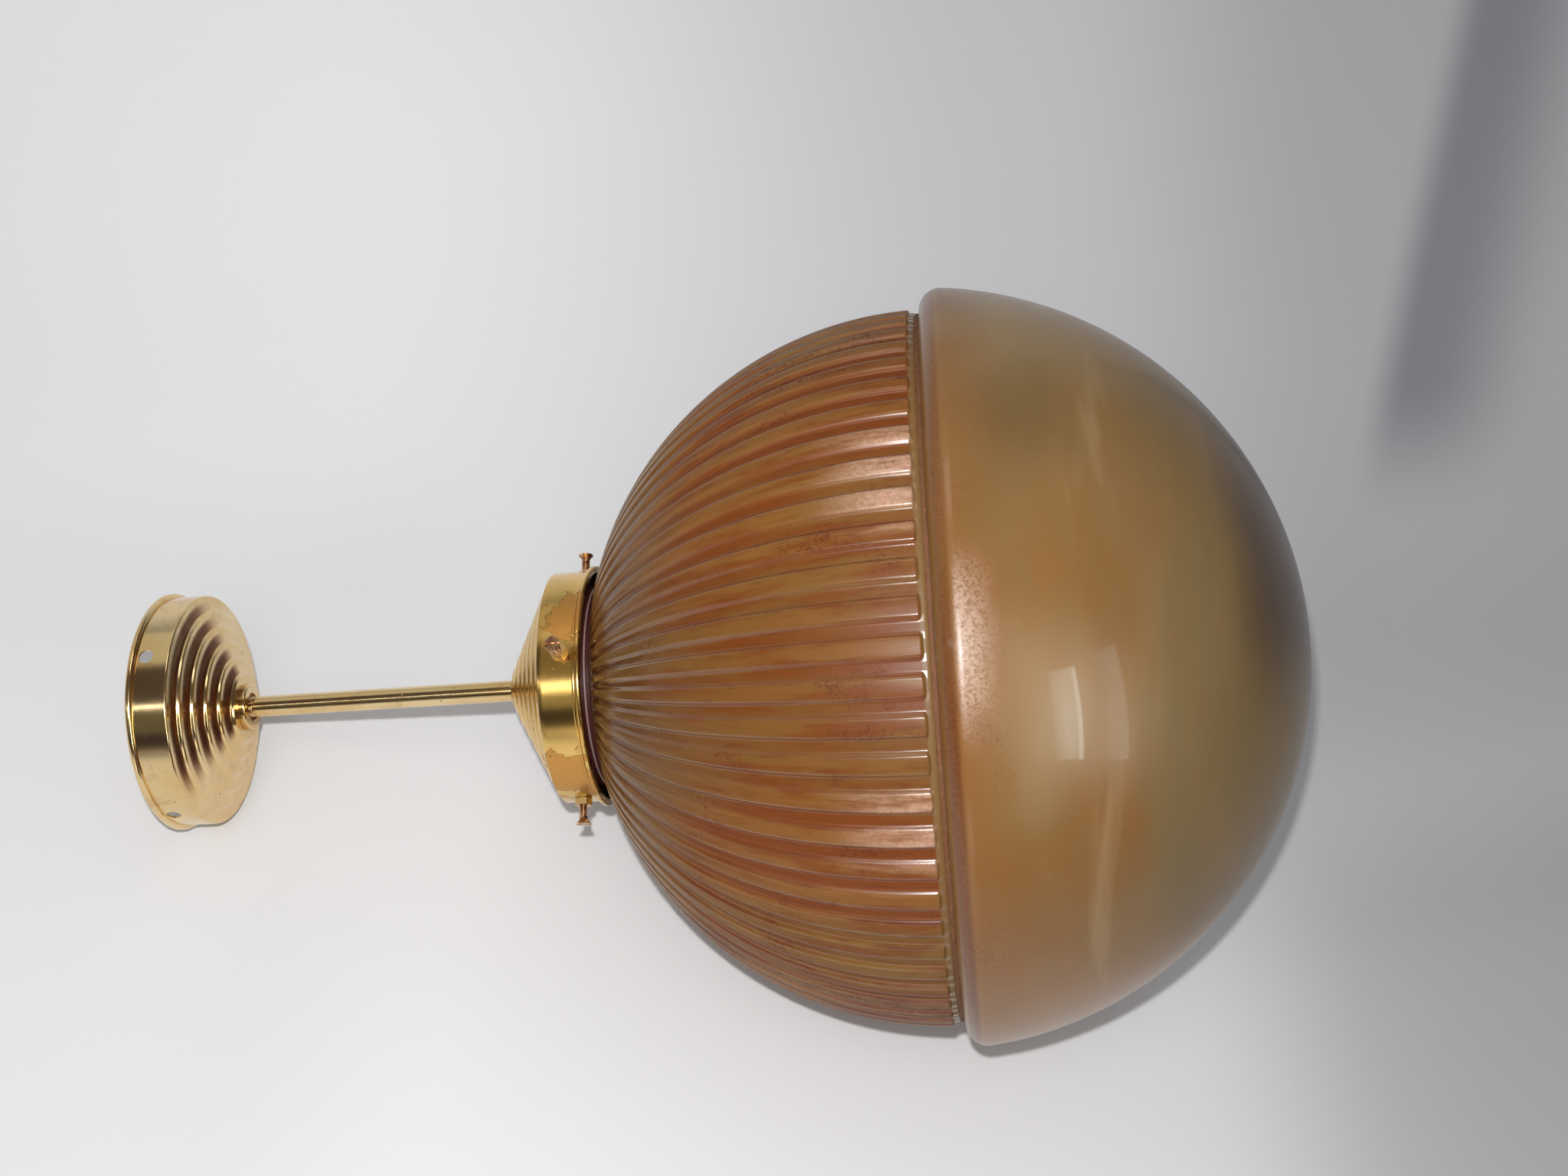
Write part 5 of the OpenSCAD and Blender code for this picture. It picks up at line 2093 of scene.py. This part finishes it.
@dataclass(frozen=True)
class PaperSweep:
    """The matt white paper that the light lies on: flat under it, then bending up behind it.

    It is clear from behind, so that the light's far side shows. Its tone is painted: a painted
    falloff of light towards -X, and painted shade towards -Z, in two corners and along a crease.
    Its spans are the places along X and the heights between which this painted shade grows.

    Attributes:
        tilt: degrees between the light's axis and the paper, as globe and canopy both touch it.
        roll: degrees that the paper is turned round the light's axis.
        reach: how far it goes on each side.
        step: length of one row of its mesh.
        cells: faces in a row.
        bend_from: where the bend starts, from the globe's contact.
        bend_length: length of the bend.
        globe_drop: drop of the globe's middle.
        globe_r: radius of the globe.
        gap: air between globe and paper.
    """

    tilt: float = 19.46
    roll: float = 45.0
    reach: float = 2.2
    step: float = 0.02
    cells: int = 8
    bend_from: float = 0.10
    bend_length: float = 0.45
    globe_drop: float = 0.36424
    globe_r: float = 0.175
    gap: float = 0.0005
    # The even paper, its painted falloff of light towards -X, and the grey of its painted shade
    back: Colour = (0.91, 0.91, 0.92)
    near: Colour = (0.76, 0.76, 0.765)
    shade_grey: Colour = (0.25, 0.25, 0.27)
    mottle: Grain = Grain(2.5, 2)
    near_x: Span = (0.10, -0.25)
    far_z: Span = (0.0, -0.45)
    far_x: Span = (-0.22, 0.0)
    end_z: Span = (-0.45, -0.66)
    low_x: Span = (-0.09, -0.18)
    low_z: Span = (-0.48, -0.60)
    top_x: Span = (0.16, 0.04)
    top_z: Span = (-0.14, -0.03)
    fold_middle: float = 0.122
    fold_slope: float = 0.29
    fold_start: Span = (-0.656, -0.690)
    fold_end: Span = (-0.80, -0.70)
    fold_x: Span = (0.05, 0.16)

    def paint(self, graph: Graph) -> Value:
        """Builds the shader.

        Args:
            graph: an empty graph.

        Returns:
            The shader.
        """
        place = graph.place()
        x, _, z = graph.parts(place)
        # Painted falloff of light and painted shade: darker towards -X, towards -Z past the globe,
        # in two corners and along a crease
        tone = graph.mixed(x.ramp(*self.near_x), self.back, self.near)
        far = z.ramp(*self.far_z) * x.ramp(*self.far_x) * 0.37 + z.ramp(*self.end_z) * 0.22
        fold = z + (x - self.fold_middle) * self.fold_slope
        crease_shade = (fold.ramp(*self.fold_start) * fold.ramp(*self.fold_end)
                   * x.ramp(*self.fold_x) * 0.34)
        corners = (x.ramp(*self.low_x) * z.ramp(*self.low_z) * 0.28
                   + x.ramp(*self.top_x) * z.ramp(*self.top_z) * 0.12)
        shade = far + (corners + crease_shade) + graph.noise(place, self.mottle) * 0.05
        front = graph.surface(
            Base_Color=graph.mixed(shade, tone, self.shade_grey),
            Roughness=0.75,
            Specular_IOR_Level=0.2,
        )
        behind = graph.node("ShaderNodeNewGeometry", output="Backfacing")
        return graph.blend(behind, front, graph.node("ShaderNodeBsdfTransparent"))

    def _profile(self, across: Vector, out: Vector) -> list[Vector]:
        """The paper's section across the light.

        Args:
            across: the direction along the paper, square to the light's axis.
            out: the direction through the paper, away from the light.

        Returns:
            Its points, from the near side to the far one.
        """
        contact = Vector((0, 0, -self.globe_drop)) + out * (self.globe_r + self.gap)
        points = [contact - across * self.reach, contact]
        for i in range(round(self.reach / self.step)):
            share = min(1.0, max(0.0, (i * self.step - self.bend_from) / self.bend_length))
            turn = math.radians(self.roll) * share * share * (3 - 2 * share)
            points.append(points[-1] + (across * math.cos(turn) - out * math.sin(turn)) * self.step)
        return points

    def build(self) -> None:
        """Builds the sweep."""
        slope = math.radians(self.tilt)
        roll = Matrix.Rotation(math.radians(self.roll), 3, "Z")
        along = roll @ Vector((0, math.sin(slope), -math.cos(slope)))
        out = roll @ Vector((0, math.cos(slope), math.sin(slope)))
        profile = self._profile(roll @ Vector((1, 0, 0)), out)
        piece = Piece("paper_sweep")
        for spot in profile:
            for j in range(self.cells + 1):
                piece.add(tuple((spot + along * self.reach * (2 * j / self.cells - 1)) / MM))
        columns = self.cells + 1
        for i in range(len(profile) - 1):
            for j in range(self.cells):
                a = i * columns + j
                piece.faces.append((a, a + 1, a + columns + 1, a + columns))
        made = piece.object(180, outward=False)
        made.data.materials.append(new_material("paper", self.paint))


@dataclass(frozen=True)
class Sector:
    """A part of the room that metal and glass reflect.

    Attributes:
        low: its first bearing from the camera's side, in degrees.
        high: its last bearing.
        soft: degrees over which its ends fade.
        colour: its colour.
    """

    low: float
    high: float
    soft: float
    colour: Colour

    def share(self, turn: Value) -> Value:
        """How much of the sector shows at a bearing in radians, from 0 to 1."""
        low, high, soft = (math.radians(angle) for angle in (self.low, self.high, self.soft))
        return turn.ramp(low - soft, low + soft) * turn.ramp(high + soft, high - soft)


@dataclass(frozen=True)
class Room:
    """A pale room. Metal and glass see it dark in front of the light, where nothing is lit."""

    pale: Colour = (0.74, 0.74, 0.75)
    side: Colour = (0.57, 0.54, 0.46)
    floor: Colour = (0.10, 0.07, 0.06)
    floor_from: Span = (-0.10, -0.42)
    sectors: tuple[Sector, ...] = (
        Sector(-36, 51, 5, (0.085, 0.066, 0.06)),
        Sector(-17, 8, 4, (0.13, 0.125, 0.09)),
        Sector(-30, -19, 4, (0.045, 0.036, 0.042)),
    )
    lit_level: float = 0.42
    seen_level: float = 0.97

    def build(self) -> None:
        """Makes the world."""
        world = bpy.data.worlds.new("studio")
        world.use_nodes = True
        graph = Graph(world.node_tree)
        x, y, z = graph.parts(graph.node("ShaderNodeTexCoord", output="Generated"))
        turn = x.bearing(-1.0 * y)
        tone = graph.layered(
            self.side, (z.ramp(*self.floor_from), self.floor),
            *((sector.share(turn), sector.colour) for sector in self.sectors))

        def background(colour: Input, level: float) -> Value:
            """One background shader."""
            return graph.node("ShaderNodeBackground", inputs={"Color": colour, "Strength": level})

        seen = background(self.pale, self.seen_level)
        shown = background(self.pale, self.lit_level)
        for ray, shader in ((Ray.GLOSSY, background(tone, 1.0)), (Ray.TRANSMISSION, seen),
                            (Ray.CAMERA, seen)):
            path = graph.node("ShaderNodeLightPath", output=ray.value)
            shown = graph.blend(path, shown, shader)
        graph.node("ShaderNodeOutputWorld", inputs={"Surface": shown})
        bpy.context.scene.world = world


@dataclass(frozen=True)
class Camera:
    """The camera at the photograph's place and angle.

    Attributes:
        eye: where it stands.
        forward: where it looks.
        above: which way is up in the picture.
        focal_pixels: its focal length in pixels of the picture.
        image_width: the picture's width in pixels.
        sensor: width of its sensor in millimetres.
    """

    eye: Place = (0.0406, -0.8632, -0.3886)
    forward: Place = (0.0, 0.9949, 0.1008)
    above: Place = (0.9978, 0.0067, -0.0658)
    focal_pixels: float = 2400.0
    image_width: float = 2048.0
    sensor: float = 36.0

    def build(self) -> None:
        """Adds the camera and makes it the scene's own."""
        data = bpy.data.cameras.new("photo_camera")
        data.sensor_width = self.sensor
        data.lens = self.focal_pixels / self.image_width * self.sensor
        camera = bpy.data.objects.new("photo_camera", data)
        forward = Vector(self.forward).normalized()
        above = Vector(self.above)
        above = (above - forward * above.dot(forward)).normalized()
        turn = Matrix((forward.cross(above), above, -forward)).transposed()
        camera.matrix_world = Matrix.Translation(self.eye) @ turn.to_4x4()
        bpy.context.scene.collection.objects.link(camera)
        bpy.context.scene.camera = camera


CREAM: Colour = (1.0, 0.97, 0.90)
YELLOW: Colour = (1.0, 0.97, 0.82)
WARM: Colour = (1.0, 0.86, 0.62)
ROSE: Colour = (1.0, 0.90, 0.86)
DAYLIGHT: Colour = (0.92, 1.0, 0.98)


@dataclass(frozen=True)
class Studio:
    """The camera, the paper, soft lamps and what the light reflects."""

    target: Place = (0.0, 0.0, -0.27)
    lamps: tuple[Lamp, ...] = (
        Lamp("softbox", (0.17, -1.40, -0.38), (0.6, 0.6), 4.4, False),
        Lamp("flash", (0.088, -0.88, -0.38), (0.014, 0.014), 6.3),
        Lamp("strip", (0.17, -1.15, 0.40), (0.03, 0.9), 0.5),
        Lamp("back_fill", (0.5, 1.7, 0.1), (1.2, 1.2), 7.0, False),
    )
    cards: tuple[Card, ...] = (
        Card("gallery_gleam", (0.06, -1.14, 0.055), (0.15, 0.10), 5.0, CREAM),
        Card("gallery_glow", (-0.19, -1.14, 0.055), (0.26, 0.10), 0.42, YELLOW),
        Card("gallery_flag", (-0.58, -1.14, 0.09), (0.40, 0.14), 0.02),
        Card("gallery_warm", (0.62, -1.14, 0.09), (0.86, 0.14), 0.30, WARM),
        Card("side_glow", (1.0, -0.82, -0.22), (0.4, 0.4), 2.8, ROSE),
        Card("low_glow", (-0.85, -0.90, -0.22), (0.3, 0.4), 1.8, ROSE),
        Card("window_near", (-0.45, -1.577, -1.686), (0.86, 0.29), 9.0, DAYLIGHT, -9,
             (-1.50, -1.72)),
        Card("window_near_edge", (-0.446, -1.485, -1.764), (0.86, 0.045), 17.0, DAYLIGHT, -9),
        Card("window_far", (-0.50, -1.6, -2.58), (1.35, 0.36), 4.5, DAYLIGHT, -12,
             (-2.40, -2.66)),
        Card("window_far_corner", (-1.03, -1.40, -2.66), (0.26, 0.14), 24.0, DAYLIGHT, -12),
    )

    def build(self) -> None:
        """Sets up everything but the light itself."""
        Camera().build()
        Room().build()
        PaperSweep().build()
        for thing in (*self.lamps, *self.cards):
            thing.build(self.target)
        bpy.context.scene.view_settings.view_transform = "Standard"


def main() -> None:
    logging.basicConfig(level=logging.INFO, format="%(name)s: %(message)s")
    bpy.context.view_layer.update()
    Studio().build()
    for assembly in (Canopy(), Stem(), Gallery(), Globe(), Lampholder()):
        LOG.info("building %s", type(assembly).__name__)
        assembly.build()


if __name__ == "__main__":
    main()
